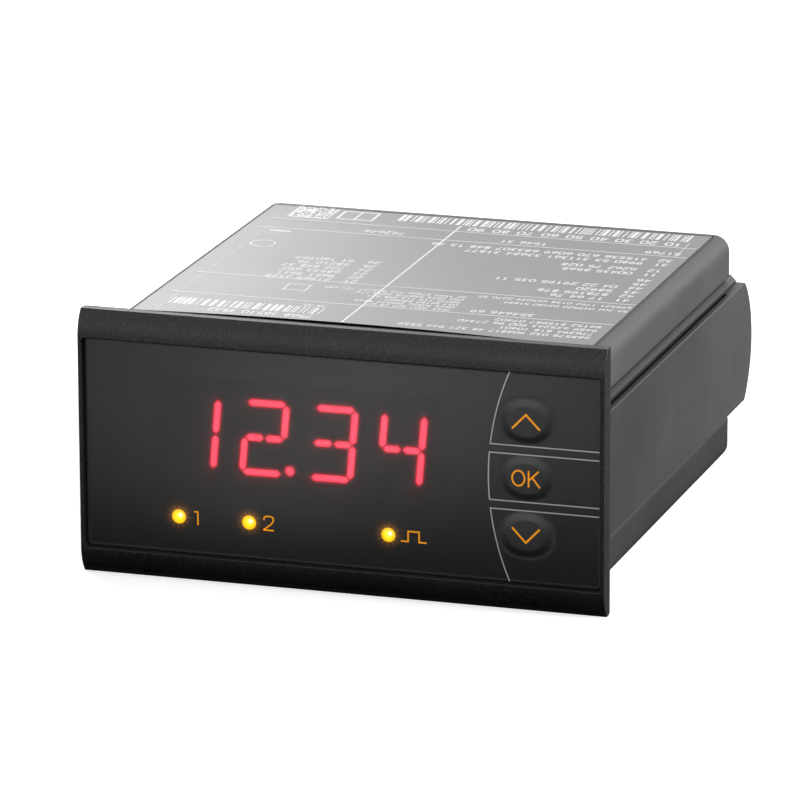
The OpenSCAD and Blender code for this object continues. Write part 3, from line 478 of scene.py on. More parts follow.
def barDistance(x, z):
    # Distance of each point from the nearest lit bar's outline, below 0 inside. Beside a bar it is the
    # distance across less the half width. At its pointed ends it is along plus across less the reach,
    # over the root of 2. The decimal point is a disc.
    centreX, centreZ, x0, z0, x1, z1 = litBars().T
    pointX, pointZ = figureCentre(display["pointAfter"]) + display["point"]
    point = np.hypot(x - pointX, z - pointZ) - display["pointRadius"]
    z = z[..., None] - centreZ
    x = x[..., None] - centreX - z * math.tan(math.radians(display["lean"]))
    long = np.hypot(x1 - x0, z1 - z0)
    along = np.abs((x - (x0 + x1) / 2) * (x1 - x0) + (z - (z0 + z1) / 2) * (z1 - z0)) / long
    across = np.abs((x - x0) * (z1 - z0) - (z - z0) * (x1 - x0)) / long
    reach = long / 2 - display["gap"]
    bars = np.maximum(across - display["half"], (along + across - reach) / math.sqrt(2))
    return np.minimum(bars.min(axis=-1), point)


def spillMaterial():
    # Clear where no light spills; red light where it does.
    material, tree, shader = startMaterial("redSpill")
    tree.links.new(attribute(tree, "spill"), shader.inputs["Alpha"])
    shader.inputs["Base Color"].default_value = (0.0, 0.0, 0.0, 1)
    shader.inputs["Specular IOR Level"].default_value = 0.0
    shader.inputs["Emission Color"].default_value = (*display["spill"], 1)
    shader.inputs["Emission Strength"].default_value = display["spillStrength"]
    return material


def spillSheet():
    # Red light round each lit bar, on a sheet just in front of the digits. It falls off by distance
    # from the bar's outline: quickly inwards, so the bar gets a red rim, and more slowly outwards.
    low, high = nodeBox("digit_1")[0], nodeBox("digit_4")[1]
    step = display["spillStep"]
    z, x = np.meshgrid(np.arange(low[2], high[2], step), np.arange(low[0], high[0], step), indexing="ij")
    distance = barDistance(x, z)
    spill = np.exp(-np.maximum(distance / display["spillOut"], -distance / display["spillIn"]))
    points = np.stack([x, np.full_like(x, low[1] - display["spillOver"]), z], axis=-1).reshape(-1, 3)
    return meshPiece("redSpill", points, gridFaces(*x.shape), spillMaterial(), smooth=False, spill=spill)


rideOn(spillSheet(), "meter")
print("display lit")


film = {
    "front": -2.8, "back": -2.52, "corner": 0.6, "step": 0.25, "seam": (0.05, 0.42), "crevice": 0.7,
    "colour": (0.0105, 0.0107, 0.011), "lighter": (0.019, 0.0193, 0.0197), "dark": (0.001, 0.001, 0.001),
    "paintedShading": (-20, 17), "blotch": 0.12, "grain": 8000.0, "depth": 0.005, "roughness": 0.3, "specular": 0.7,
}
lamp = {
    "radius": 1.28, "rise": 0.16, "over": 0.02, "rings": 14, "around": 48, "halo": 0.42, "rays": 0.5,
    "rayCounts": (12, 19), "rayTurn": 0.7, "raySecond": 0.6, "rayUp": 0.35, "rayLeast": 0.2,
    "core": (1.0, 0.8, 0.02), "rim": (0.85, 0.4, 0.0), "rimFrom": 0.35, "strength": 1.1,
    "gleam": (1.0, 1.0, 0.8), "gleamAt": (0.32, 0.3), "gleamSize": (0.05, 0.6),
    "lens": (0.9, 0.6, 0.05), "roughness": 0.2, "glow": (0.22, 0.085, 0.002),
    "body": (1.0, 0.55, 0.05), "bodyStrength": 0.6,
}
filmLow, filmHigh = nodeBox("front_film")
windowLow, windowHigh = nodeBox("display_window")
lampAt = [sum(nodeBox("status_lamp_%d" % count))[[0, 2]] / 2 for count in (1, 2, 3)]
dress(glowing("lampBody", lamp["body"], lamp["bodyStrength"]),
      "status_lamp_1", "status_lamp_2", "status_lamp_3")


def lampGlow(x, z):
    # Light round the lamps: it falls off by distance, in faint rays that reach furthest upwards.
    light = np.zeros_like(x)
    first, second = lamp["rayCounts"]
    for centreX, centreZ in lampAt:
        distance = np.clip(np.hypot(x - centreX, z - centreZ) - lamp["radius"], 0, None)
        turn = np.arctan2(z - centreZ, x - centreX)
        waves = np.cos(first * turn + lamp["rayTurn"]) + lamp["raySecond"] * np.cos(second * turn)
        rays = 1 + lamp["rays"] * waves + lamp["rayUp"] * np.sin(turn)
        light += np.clip(rays, lamp["rayLeast"], None) * np.exp(-distance / lamp["halo"])
    return light


def filmPiece():
    # A flat sheet with a rim turned back at its edge. Its rows are as wide as a rectangle with
    # rounded corners is there. Each point holds the window's mask, the light on it and the painted shade
    # along its rim.
    wide, high = (filmHigh - filmLow)[[0, 2]]
    columns, rows, r = int(wide / film["step"]), int(high / film["step"]), film["corner"]
    z = np.linspace(-high / 2, high / 2, rows)
    past = np.clip(np.abs(z) - (high / 2 - r), 0, r)
    half = wide / 2 - r + np.sqrt(r * r - past * past)
    x = np.pad(half[:, None] * np.linspace(-1, 1, columns), 1, mode="edge")
    z = np.pad(np.repeat(z[:, None], columns, axis=1), 1, mode="edge")
    y = np.full_like(x, film["back"])
    y[1:-1, 1:-1] = film["front"]
    centre, size = (windowLow + windowHigh) / 2, windowHigh - windowLow
    outside = np.maximum(np.abs(x - centre[0]) - size[0] / 2, np.abs(z - centre[2]) - size[2] / 2)
    window = 1 - smoothStep(-display["windowSoft"], display["windowSoft"], outside)
    halo = display["haloLevel"] * np.exp(-np.clip(barDistance(x, z), 0, None) / display["haloReach"])
    points = np.stack([x, y, z], axis=-1).reshape(-1, 3)
    faces = gridFaces(rows + 2, columns + 2).tolist()
    rim = np.minimum(wide / 2 - np.abs(x), high / 2 - np.abs(z))
    return meshPiece("printedFilm", points, faces, filmMaterial(), smooth=False, window=window, halo=halo,
                     lampLight=lampGlow(x, z), seam=1 - smoothStep(*film["seam"], rim))


def filmBase(tree, shader, roughness):
    # Charcoal film: a painted sheen that makes it lighter towards the top, slow blotches, very fine grain,
    # and painted shade at the recess's wall and along its rim.
    grainOut = useGroup(tree, "grain", Scale=film["grain"])
    low, high = film["paintedShading"]
    height = rangeNode(tree, splitVector(tree, objectPlace(tree))["Z"], low * mm, high * mm)
    openness = useGroup(tree, "crevice", Reach=film["crevice"] * mm)["Open"]
    # Painted shade: the rim line and the recess's inner corners darken the film.
    openness = mathNode(tree, "SUBTRACT", openness, attribute(tree, "seam"), clamp=True)
    blotch = mathNode(tree, "MULTIPLY", grainOut["Blotch"], film["blotch"])
    # Painted sheen: the colour grows lighter towards the top, as well as with the blotches.
    base = mixColour(tree, mathNode(tree, "ADD", blotch, height, clamp=True), film["colour"], film["lighter"])
    tree.links.new(rangeNode(tree, openness, 0, 1, 1, roughness), shader.inputs["Roughness"])
    shader.inputs["Specular IOR Level"].default_value = film["specular"]
    addBump(tree, shader, grainOut["Height"], film["depth"])
    return mixColour(tree, openness, film["dark"], base)


def filmMaterial():
    material, tree, shader = startMaterial("charcoalFilm")
    window = attribute(tree, "window")
    base = filmBase(tree, shader, film["roughness"])
    tree.links.new(mixColour(tree, window, base, display["window"]), shader.inputs["Base Color"])
    tree.links.new(rangeNode(tree, window, 0, 1, 1.0, display["windowAlpha"]), shader.inputs["Alpha"])
    black = (0.0, 0.0, 0.0)
    light = mixColour(tree, attribute(tree, "halo"), black, display["halo"])
    amber = mixColour(tree, attribute(tree, "lampLight"), black, lamp["glow"])
    light = mixColour(tree, 1.0, light, amber, blend="ADD")
    tree.links.new(light, shader.inputs["Emission Color"])
    shader.inputs["Emission Strength"].default_value = 1.0
    return material


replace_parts(rideOn(filmPiece(), "meter"), "front_film", "display_window")
print("film made")


def discFaces(rings, around):
    # Quads between rings that grow outwards, and triangles from the first ring to the last point.
    quads = gridFaces(rings, around, closed=True)[:, ::-1]
    step = np.arange(around)
    cap = np.stack([step, (step + 1) % around, np.full(around, rings * around)], axis=1)
    return quads.tolist() + cap.tolist()


def lampMaterial():
    # Lit lens: yellow in the middle, amber at its rim, with a white gleam up to the right.
    material, tree, shader = startMaterial("lampLens")
    light = mixColour(tree, attribute(tree, "rim"), lamp["core"], lamp["rim"])
    light = mixColour(tree, attribute(tree, "gleam"), light, lamp["gleam"])
    tree.links.new(light, shader.inputs["Emission Color"])
    shader.inputs["Emission Strength"].default_value = lamp["strength"]
    shader.inputs["Base Color"].default_value = (*lamp["lens"], 1)
    shader.inputs["Roughness"].default_value = lamp["roughness"]
    return material


def lampLens(name, centreX, centreZ, material):
    # A low dome of rings. Its height is the rise times 1 less the square of the radius over the full one.
    ring = np.linspace(0, 1, lamp["rings"])[1:, None]
    turn = np.linspace(0, 2 * np.pi, lamp["around"], endpoint=False)
    dx, dz = ring * lamp["radius"] * np.cos(turn), ring * lamp["radius"] * np.sin(turn)
    top = film["front"] - lamp["over"]
    y = top - lamp["rise"] * (1 - ring ** 2) * np.ones_like(turn)
    points = np.stack([centreX + dx, y, centreZ + dz], axis=-1).reshape(-1, 3)
    points = np.vstack([points, [[centreX, top - lamp["rise"], centreZ]]])
    dx, dz = points[:, 0] - centreX, points[:, 2] - centreZ
    gleam = np.hypot(dx - lamp["gleamAt"][0], dz - lamp["gleamAt"][1])
    return meshPiece(name, points, discFaces(len(ring), len(turn)), material,
                     rim=smoothStep(lamp["rimFrom"], 1.0, np.hypot(dx, dz) / lamp["radius"]),
                     gleam=1 - smoothStep(*lamp["gleamSize"], gleam))


lampFinish = lampMaterial()
lenses = [lampLens("lampLens_%d" % (i + 1), *place, lampFinish) for i, place in enumerate(lampAt)]
for lens in lenses:
    rideOn(lens, "meter")
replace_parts(lenses[0], "indicator_lenses")


key = {"halfWide": 4.85, "halfHigh": 4.15, "power": 2.3, "lift": 0.45, "crown": 0.07, "shoulder": 0.38,
       "skirt": 1.1, "over": 0.02, "roughness": 0.5, "rings": 44, "around": 96,
       "fixedBelow": -0.05, "movesAbove": 0.405}
keyAt = {name: sum(nodeBox("key_" + name))[[0, 2]] / 2 for name in ("up", "ok", "down")}


def keyHeight(dx, dz):
    # Height of a key over the film: 0 outside its oval, a smooth shoulder, then a slight crown.
    # On the oval, x over the half width and z over the half height, each to the power, add up to 1.
    out = np.abs(dx / key["halfWide"]) ** key["power"] + np.abs(dz / key["halfHigh"]) ** key["power"]
    out = out ** (1 / key["power"])
    rise = 1 - smoothStep(1 - key["shoulder"], 1.0, out)
    return key["over"] + key["lift"] * rise + key["crown"] * np.clip(1 - out, 0, 1)


def keySkin(name, centreX, centreZ, material):
    # A disc of rings, each the key's oval made smaller, lifted by the key's height.
    ring = np.linspace(0, key["skirt"], key["rings"])[1:, None]
    turn = np.linspace(0, 2 * np.pi, key["around"], endpoint=False)
    cosine, sine = np.cos(turn), np.sin(turn)
    dx = ring * key["halfWide"] * np.sign(cosine) * np.abs(cosine) ** (2 / key["power"])
    dz = ring * key["halfHigh"] * np.sign(sine) * np.abs(sine) ** (2 / key["power"])
    dx, dz = np.append(dx, 0.0), np.append(dz, 0.0)
    points = np.stack([centreX + dx, film["front"] - keyHeight(dx, dz), centreZ + dz], axis=-1)
    return meshPiece(name, points, discFaces(len(ring), len(turn)), material)


def keyMaterial():
    material, tree, shader = startMaterial("embossedFilm")
    tree.links.new(filmBase(tree, shader, key["roughness"]), shader.inputs["Base Color"])
    return material


keyFinish = keyMaterial()
for name, (x, z) in keyAt.items():
    skin = keySkin("keySkin_" + name, x, z, keyFinish)
    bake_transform(skin)
    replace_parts(skin, "key_" + name)
print("keys made")


ink = {"grain": 6000.0, "dull": 0.88}


def inkMaterial(name, colour, roughness=0.5, light=0.0, specular=0.5):
    # Screen-printed ink: slightly uneven colour, and a little light of its own.
    material, tree, shader = startMaterial(name)
    grainOut = useGroup(tree, "grain", Scale=ink["grain"])
    dull = tuple(c * ink["dull"] for c in colour)
    tree.links.new(mixColour(tree, grainOut["Height"], dull, colour), shader.inputs["Base Color"])
    shader.inputs["Roughness"].default_value = roughness
    shader.inputs["Specular IOR Level"].default_value = specular
    shader.inputs["Emission Color"].default_value = (*colour, 1)
    shader.inputs["Emission Strength"].default_value = light
    return material


greyInk = inkMaterial("greyInk", (0.8, 0.8, 0.8), light=0.13)
orangeInk = inkMaterial("orangeInk", (1.0, 0.36, 0.004), light=0.55)

lines = {"arcCentre": 75.0, "arcRadius": 48.2, "width": 0.22, "end": 46.75, "top": 18.85, "steps": 40,
         "levels": (5.7, 4.17, -4.35, -5.9)}
# Marks: line widths and paths in mm, the lamps' from the lamp's middle and the letters from the key's.
marks = {
    "overFilm": 0.03, "overKey": 0.012, "step": 0.25,
    "figure": 0.28, "one": [[2.8, 1.1], [3.5, 1.1], [3.5, -1.3]],
    "two": [[2.75, 0.7], [2.75, 1.35], [3.6, 1.45], [4.5, 1.35], [4.45, 0.45], [3.9, -0.15], [2.65, -1.1]],
    "twoFoot": [[2.65, -1.1], [4.55, -1.1]],
    "pulse": [[2.25, -0.9], [3.6, -0.9], [3.6, 0.95], [5.6, 0.95], [5.6, -0.9], [7.0, -0.9]],
    "chevron": 0.34, "chevronWide": 5.0, "chevronHigh": 2.6,
    "letter": 0.3, "ring": (-1.35, 0.05, 1.12, 1.35),
    "strokes": [[[0.5, -1.45], [0.5, 1.5]], [[2.3, 1.5], [0.6, -0.2]], [[1.15, 0.35], [2.5, -1.45]]],
}


def arcPath(z0, z1):
    # The frames' common arc between two heights.
    z = np.linspace(z0, z1, lines["steps"])
    return np.stack([lines["arcCentre"] - np.sqrt(lines["arcRadius"] ** 2 - z * z), z], axis=1)


def flatPrint(name, strips, material, body="meter", surface=None):
    # Strips of ink just over the film, or over a key's dome where a surface is given.
    points, faces = joinStrips(strips)
    flat = np.full(len(points), film["front"] - marks["overFilm"])
    y = surface(points[:, 0], points[:, 1]) if surface else flat
    points = np.stack([points[:, 0], y, points[:, 1]], axis=1)
    return rideOn(meshPiece(name, points, faces, material, smooth=False), body)


def framingLines():
    # Three frames open to the right: each has an arc on the left and level lines to the film's edge.
    upper, boxTop, boxBottom, lower = lines["levels"]
    end = lines["end"]
    paths = [np.vstack([[[end, upper]], arcPath(upper, lines["top"])]),
             np.vstack([[[end, boxTop]], arcPath(boxTop, boxBottom), [[end, boxBottom]]]),
             np.vstack([[[end, lower]], arcPath(lower, -lines["top"])])]
    return [strokeStrip(path, lines["width"]) for path in paths]


def lampMarks():
    # The figures 1 and 2 and a pulse, each beside its lamp.
    paths = [lampAt[0] + marks["one"], lampAt[1] + bend(marks["two"]), lampAt[1] + marks["twoFoot"],
             lampAt[2] + marks["pulse"]]
    return [strokeStrip(path, marks["figure"]) for path in paths]


def onDome(centreX, centreZ):
    # Gives the place of ink on a key's dome.
    return lambda x, z: film["front"] - keyHeight(x - centreX, z - centreZ) - marks["overKey"]


def chevron(centreX, centreZ, up):
    half, high = marks["chevronWide"] / 2, marks["chevronHigh"] / 2 * up
    path = [[centreX - half, centreZ - high], [centreX, centreZ + high], [centreX + half, centreZ - high]]
    return [strokeStrip(resample(path, marks["step"]), marks["chevron"])]


def okLetters(centreX, centreZ):
    middle = np.array([centreX, centreZ])
    strips = [strokeStrip(middle + oval(*marks["ring"]), marks["letter"], closed=True)]
    for path in marks["strokes"]:
        strips.append(strokeStrip(resample(middle + path, marks["step"]), marks["letter"]))
    return strips


flatPrint("keyLines", framingLines(), greyInk)
flatPrint("lampMarks", lampMarks(), orangeInk)
flatPrint("chevronUp", chevron(*keyAt["up"], 1), orangeInk, "up_key", onDome(*keyAt["up"]))
flatPrint("chevronDown", chevron(*keyAt["down"], -1), orangeInk, "down_key", onDome(*keyAt["down"]))
flatPrint("okMark", okLetters(*keyAt["ok"]), orangeInk, "ok_key", onDome(*keyAt["ok"]))
print("print made")


# Places on the label, in mm. columns: x, width, start and end. listed: x of the numbers in labelNumbers and
# their height. twenties: x, first y, pitch and height. scale: x, pitch, y and height. boxes, bars and
# barRuns: x and y from and to. cells: x, y, size and count a side.
label = {
    "ink": 0.012, "rules": (22.4, 36.4, 70.9, 77.6), "rule": 0.3, "margins": (2.5, 0.6), "stroke": 0.18,
    "columns": [(-4.3, 0.39, 10.6, 81.6), (39.6, 0.15, 70.9, 81.6), (-38.4, 0.15, 8.9, 70.9)],
    "spacing": 0.8, "gap": 0.7, "figures": (2, 7), "seed": 7,
    "listed": (40.0, 1.7), "twenties": (-10.2, 37.6, 2.8, 1.6), "scale": (38.5, 4.7, 79.8, 2.1),
    "barRuns": [(-17.0, 40.0, 82.2, 86.8), (-38.0, -8.8, 14.4, 18.8)], "barWidths": [0.25, 0.25, 0.5, 0.75],
    "cells": (-37.4, 79.6, 8.0, 16), "filled": 0.5,
    "boxes": [(-28.2, -21.0, 80.4, 86.4, 0.5), (-21.4, -17.0, 28.9, 33.3, 0.3)],
    "bars": [(-24.8, -24.4, 80.9, 85.9), (-37.2, -33.0, 68.4, 69.2)],
    "ring": (-35.2, 59.2, 2.3, 2.3), "ringLine": 0.3,
    "rim": 0.2, "shadeEdge": 8.2, "shadeBow": 2.2, "shadeMiddle": -5.0, "shadeReach": 38.0, "shadeSteps": 60,
}
foil = {"grain": 4500.0, "dark": (0.238, 0.24, 0.245), "light": (0.268, 0.27, 0.275), "speckle": 0.12,
        "bright": (0.42, 0.42, 0.42), "depth": 0.004, "metal": 0.35, "roughness": 0.42}
numerals = {
    "0": [[0.3, 1], [0.05, 0.9], [0, 0.5], [0.05, 0.1], [0.3, 0], [0.55, 0.1], [0.6, 0.5], [0.55, 0.9],
          [0.3, 1]],
    "1": [[0.1, 0.8], [0.35, 1], [0.35, 0]],
    "2": [[0.02, 0.78], [0.15, 0.98], [0.45, 0.98], [0.58, 0.75], [0.5, 0.5], [0, 0], [0.6, 0]],
    "3": [[0.03, 0.88], [0.3, 1], [0.56, 0.78], [0.28, 0.52], [0.6, 0.25], [0.3, 0], [0, 0.14]],
    "4": [[0.45, 0], [0.45, 1], [0, 0.28], [0.62, 0.28]],
    "5": [[0.55, 1], [0.1, 1], [0.05, 0.55], [0.35, 0.64], [0.6, 0.35], [0.35, 0], [0, 0.1]],
    "6": [[0.5, 0.96], [0.15, 0.75], [0, 0.35], [0.15, 0.02], [0.45, 0.02], [0.6, 0.3], [0.4, 0.56],
          [0.05, 0.42]],
    "7": [[0, 1], [0.6, 1], [0.2, 0]],
    "8": [[0.3, 0.54], [0.05, 0.76], [0.3, 1], [0.55, 0.76], [0.3, 0.54], [0, 0.24], [0.3, 0], [0.6, 0.24],
          [0.3, 0.54]],
    "9": [[0.1, 0.04], [0.45, 0.25], [0.6, 0.65], [0.45, 0.98], [0.15, 0.98], [0, 0.7], [0.2, 0.44],
          [0.55, 0.58]],
}
# Rows of random figures: the y of the middle, the x of the start and the end, and the figures' height.
labelRows = [
    (12.9, 40.3, 4.5, 1.4), (15.4, 40.3, 23.0, 1.4), (17.9, 40.3, 15.0, 1.4), (20.3, 40.3, 18.8, 1.4),
    (12.5, -10.2, -29.9, 1.7), (19.9, -10.2, -14.0, 1.1), (24.6, 26.8, 15.4, 1.7), (31.8, 41.8, 17.9, 1.2),
    (34.4, 41.8, 13.8, 1.2), (23.9, 11.8, -3.6, 1.1), (25.7, 11.8, -7.0, 1.1), (27.5, 11.8, -2.2, 1.1),
    (29.3, 11.8, -5.4, 1.1), (31.1, 11.8, -8.6, 1.1), (32.9, 11.8, -14.9, 1.1), (73.2, 40.1, 33.8, 1.7),
    (73.2, 14.9, 6.0, 1.7), (73.2, -12.3, -21.5, 1.7), (39.1, 35.3, 24.2, 1.7), (42.0, 35.3, 22.2, 1.7),
    (44.8, 35.3, 28.4, 1.7), (47.7, 35.3, 12.3, 1.7), (57.6, 35.3, 22.3, 1.7), (60.5, 35.3, 20.9, 1.7),
    (65.0, 35.3, -1.0, 1.7), (67.9, 35.3, -6.5, 1.7), (37.6, -15.2, -28.0, 1.6), (40.4, -15.2, -27.0, 1.6),
    (43.2, -15.2, -27.0, 1.6), (46.0, -15.2, -28.0, 1.6), (48.8, -15.2, -27.0, 1.6),
    (51.6, -15.2, -27.0, 1.6),
]
labelNumbers = [("41", 39.1), ("42", 42.0), ("43", 44.8), ("44", 47.7), ("45", 50.5), ("46", 53.3),
                ("11", 57.6), ("12", 60.5), ("31", 65.0), ("32", 67.9)]


def writeFigures(text, x, y, high):
    # Plain figures that read from behind: the reader's right is -x, and up is towards the front.
    strips = []
    for place, sign in enumerate(text):
        path = np.array(numerals[sign]) * high
        across = x - path[:, 0] - place * label["spacing"] * high
        path = np.stack([across, y + high / 2 - path[:, 1]], axis=1)
        strips.append(strokeStrip(path, label["stroke"] * high))
    return strips


def writeRow(y, start, end, high, table):
    # Groups of random figures until the row is full.
    strips, x, step = [], start, label["spacing"] * high
    while x > end + high:
        count = min(int(table.integers(*label["figures"])), max(1, round((x - end) / step)))
        strips += writeFigures("".join(str(sign) for sign in table.integers(0, 10, count)), x, y, high)
        x -= (count + label["gap"]) * step
    return strips


def bar(x0, x1, y0, y1):
    # A filled rectangle that faces up.
    return np.array([[x0, y0], [x1, y0], [x0, y1], [x1, y1]]), np.array([[0, 1, 3, 2]])


def frameBox(x0, x1, y0, y1, width):
    # The four sides of a box, without overlap.
    low, high = y0 + width, y1 - width
    return [bar(x0, x1, y0, low), bar(x0, x1, high, y1), bar(x0, x0 + width, low, high),
            bar(x1 - width, x1, low, high)]


def barRun(x0, x1, y0, y1, table):
    # Upright bars of uneven width with uneven gaps.
    widths = label["barWidths"]
    edges = x0 + np.cumsum(table.choice(widths, int((x1 - x0) / min(widths))))
    edges = edges[edges < x1]
    return [bar(left, right, y0, y1) for left, right in zip(edges[0::2], edges[1::2])]


def cellSquare(x0, y0, size, count, table):
    # A square field of random cells beside two full edges.
    step = size / count
    filled = table.random((count, count)) < label["filled"]
    filled[0, :] = filled[:, 0] = True
    return [bar(x0 + i * step, x0 + (i + 1) * step, y0 + j * step, y0 + (j + 1) * step)
            for i, j in np.argwhere(filled)]


def labelStrips(low, high):
    # All the white print but the upright rules. It names nothing: its figures, bars and cells are random.
    table = np.random.default_rng(label["seed"])
    left, right = low[0] + label["margins"][0], high[0] - label["margins"][1]
    strips = [bar(left, right, y, y + label["rule"]) for y in label["rules"]]
    for row in labelRows:
        strips += writeRow(*row, table)
    x, size = label["listed"]
    for text, y in labelNumbers:
        strips += writeFigures(text, x, y, size)
    x, y, pitch, size = label["twenties"]
    for row in range(6):
        strips += writeFigures("2%d" % (row + 1), x, y + pitch * row, size)
    x, pitch, y, size = label["scale"]
    for place in range(9):
        strips += writeFigures("%d0" % (place + 1), x - pitch * place, y, size)
    for run in label["barRuns"]:
        strips += barRun(*run, table)
    strips += cellSquare(*label["cells"], table)
    for box in label["boxes"]:
        strips += frameBox(*box)
    strips.append(strokeStrip(oval(*label["ring"]), label["ringLine"], closed=True))
    return strips + [bar(*place) for place in label["bars"]]


def labelColumns():
    # Upright rules: a bold one in the middle and a fine one near each side.
    return [bar(x, x + wide, start, end) for x, wide, start, end in label["columns"]]


def labelFoil():
    # Silvery foil label: slow tone changes, fine grain, soft gloss.
    material, tree, shader = startMaterial("silverFoil")
    grainOut = useGroup(tree, "grain", Scale=foil["grain"])
    base = mixColour(tree, grainOut["Blotch"], foil["dark"], foil["light"])
    speckle = mathNode(tree, "MULTIPLY", grainOut["Speckle"], foil["speckle"])
    tree.links.new(mixColour(tree, speckle, base, foil["bright"]), shader.inputs["Base Color"])
    addBump(tree, shader, grainOut["Height"], foil["depth"])
    shader.inputs["Metallic"].default_value = foil["metal"]
    shader.inputs["Roughness"].default_value = foil["roughness"]
    return material


def labelRim(low, high):
    # Painted shade: a dark line round the foil. At the front it widens to a painted shadow strip whose
    # rear edge bows backwards, by a parabola that is highest at shadeMiddle.
    rim = label["rim"]
    left, right = low[0] + rim, high[0] - rim
    x = np.linspace(left, right, label["shadeSteps"])
    aside = (x - label["shadeMiddle"]) / label["shadeReach"]
    edge = label["shadeEdge"] + label["shadeBow"] * (1 - aside ** 2)
    points = np.stack([np.tile(x, 2), np.concatenate([np.full_like(x, low[1]), edge])], axis=1)
    return [(points, gridFaces(2, len(x))), bar(low[0], left, low[1], high[1]),
            bar(right, high[0], low[1], high[1]), bar(left, right, high[1] - rim, high[1])]


def onLabel(name, strips, material, height):
    # Flat strips at a height over the object's middle.
    points, faces = joinStrips(strips)
    points = np.column_stack([points, np.full(len(points), height)])
    return rideOn(meshPiece(name, points, faces, material, smooth=False), "meter")


labelLow, labelHigh = nodeBox("top_label")
dress(labelFoil(), "top_label")
whiteInk = inkMaterial("whiteInk", (0.9, 0.9, 0.9), 0.45, light=0.14)
onLabel("labelPrint", labelStrips(labelLow, labelHigh), whiteInk, labelHigh[2] + label["ink"])
onLabel("labelColumns", labelColumns(), whiteInk, labelHigh[2] + 2 * label["ink"])
# labelShade is painted shade, not print: the dark line round the foil and the shadow strip at its front.
labelShade = inkMaterial("labelShade", (0.003, 0.003, 0.003), 0.8, specular=0.0)
onLabel("labelRim", labelRim(labelLow, labelHigh), labelShade, labelHigh[2] + label["ink"])
print("label made")


# floorSlope: the bezel's half height less the housing's, over the way between them.
studio = {
    "world": 0.04, "floorSize": 3.0, "floorAt": (-0.003, -0.02406), "floorSlope": (24.0 - 21.3) / 92.0,
    "floorColour": (0.9, 0.9, 0.9), "floorGlow": 0.74, "floorRoughness": 0.9,
    "floorDark": 0.06, "floorFar": 0.45, "farFrom": (-0.03, -0.16),
    "poolAt": (-0.035, -0.13, -0.024), "poolSize": (0.031, 0.082, 1.0), "poolEdge": (0.2, 1.3),
    "spot": dict(name="poolSpot", place=(-0.038, -0.13, 0.40), angle=math.radians(30), power=9.5),
    "lights": [
        dict(name="backPanel", place=(-0.30, 0.50, 0.22), size=0.25, power=0.62, target=(0, 0.03, 0)),
        dict(name="frontPanel", place=(-0.10, -0.42, 0.16), size=0.16, power=0.22, target=(0, 0.03, 0)),
        dict(name="sidePanel", place=(0.90, 0.10, 0.35), size=0.4, power=14.5, target=(0, 0.03, 0)),
        dict(name="fillPanel", place=(-0.80, 0.70, 0.15), size=0.25, power=13.0, target=(0, 0.05, 0)),
    ],
}


def buildWorld():
    # Faint even light on the object, and white for what the camera sees, directly or in a gloss.
    world = bpy.data.worlds.new("studioWorld")
    bpy.context.scene.world = world
    world.use_nodes = True
    tree = world.node_tree
    path = tree.nodes.new("ShaderNodeLightPath").outputs
    seen = mathNode(tree, "MAXIMUM", path["Is Camera Ray"], path["Is Transmission Ray"])
    seen = mathNode(tree, "MAXIMUM", seen, path["Is Glossy Ray"])
    sky = tree.nodes["Background"].inputs
    sky["Color"].default_value = (1, 1, 1, 1)
    tree.links.new(rangeNode(tree, seen, 0, 1, studio["world"], 1.0), sky["Strength"])


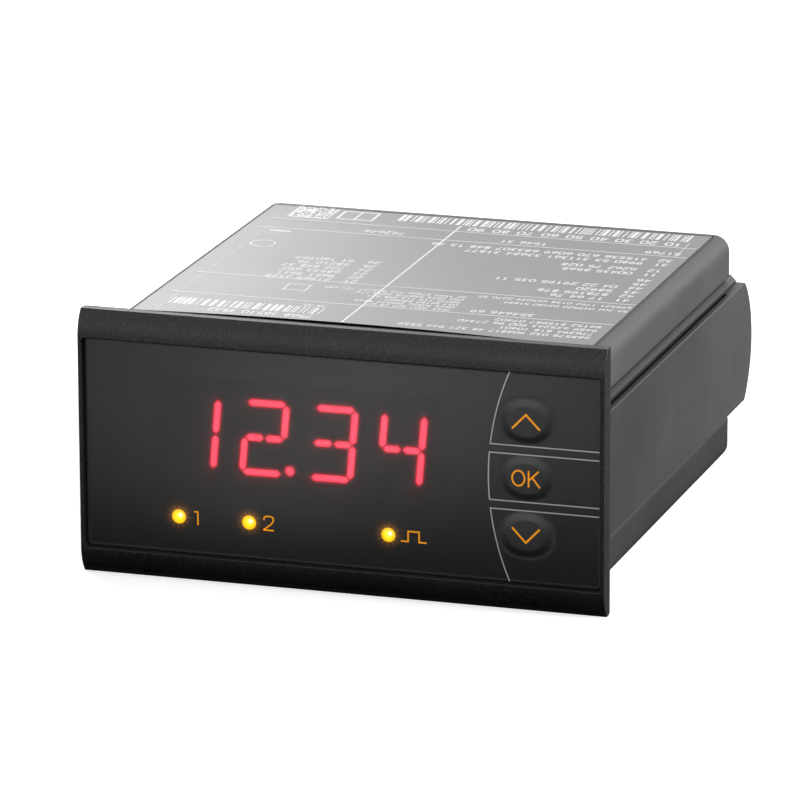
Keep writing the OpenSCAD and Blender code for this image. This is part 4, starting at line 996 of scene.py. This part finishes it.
def floorMaterial():
    # Pale paint to the camera. The object gets light back from a pool in front of it, little from beside
    # and behind it, and more from far in front.
    material, tree, shader = startMaterial("floorPaint")
    seen = tree.nodes.new("ShaderNodeLightPath").outputs["Is Camera Ray"]
    place = addNode(tree, "ShaderNodeNewGeometry").outputs["Position"]
    depth = splitVector(tree, place)["Y"]
    bounce = rangeNode(tree, depth, *studio["farFrom"], studio["floorDark"], studio["floorFar"])
    apart = vectorNode(tree, "SUBTRACT", place, studio["poolAt"])
    apart = vectorNode(tree, "DIVIDE", apart.outputs["Vector"], studio["poolSize"])
    apart = vectorNode(tree, "LENGTH", apart.outputs["Vector"], (0, 0, 0))
    pool = rangeNode(tree, apart.outputs["Value"], *studio["poolEdge"], 1, 0, smooth=True)
    bounce = mixColour(tree, pool, bounce, studio["floorColour"])
    tree.links.new(mixColour(tree, seen, bounce, studio["floorColour"]), shader.inputs["Base Color"])
    shader.inputs["Roughness"].default_value = studio["floorRoughness"]
    shader.inputs["Specular IOR Level"].default_value = 0.0
    shader.inputs["Emission Color"].default_value = (1, 1, 1, 1)
    tree.links.new(mathNode(tree, "MULTIPLY", seen, studio["floorGlow"]), shader.inputs["Emission Strength"])
    return material


def buildFloor():
    # A floor that touches the bezel's lower edge and the housing's rear lower edge.
    size, (fromY, fromZ) = studio["floorSize"], studio["floorAt"]
    corners = [(x, y, fromZ + (y - fromY) * studio["floorSlope"]) for x, y in
               ((-size, -size), (size, -size), (size, size), (-size, size))]
    floor = meshPiece("floor", np.array(corners) / mm, [(0, 1, 2, 3)], floorMaterial(), smooth=False)


def addLight(look, kind):
    data = bpy.data.lights.new(look["name"], kind)
    data.energy = look["power"]
    item = bpy.data.objects.new(look["name"], data)
    bpy.context.scene.collection.objects.link(item)
    item.location = look["place"]
    return item


def buildSpot(look):
    # A soft-edged spot straight down on the floor in front of the object.
    data = addLight(look, "SPOT").data
    data.spot_size = look["angle"]
    data.spot_blend = 1.0


def buildPanel(look):
    # A square panel of light that faces its target.
    item = addLight(look, "AREA")
    item.data.size = look["size"]
    aim = Vector(look["target"]) - Vector(look["place"])
    item.rotation_euler = aim.to_track_quat("-Z", "Y").to_euler()


# The place is in mm, the axes are the camera's own.
camera = {"lens": 305.71, "sensor": 36.0, "clip": 0.05, "place": (354.57, -1079.97, 331.37),
          "right": (0.95302231, 0.30287051, -0.00423493), "up": (-0.07840639, 0.26017265, 0.96237344),
          "back": (0.29257634, -0.91683131, 0.27169732)}


def buildCamera():
    data = bpy.data.cameras.new("studioCamera")
    data.lens = camera["lens"]
    data.sensor_width = camera["sensor"]
    data.clip_start = camera["clip"]
    item = bpy.data.objects.new("studioCamera", data)
    bpy.context.scene.collection.objects.link(item)
    turn = Matrix((camera["right"], camera["up"], camera["back"])).transposed().to_4x4()
    item.matrix_world = Matrix.Translation(Vector(camera["place"]) * mm) @ turn
    bpy.context.scene.camera = item


buildWorld()
buildFloor()
for look in studio["lights"]:
    buildPanel(look)
buildSpot(studio["spot"])
buildCamera()
bpy.context.scene.view_settings.view_transform = "Standard"
print("studio ready")
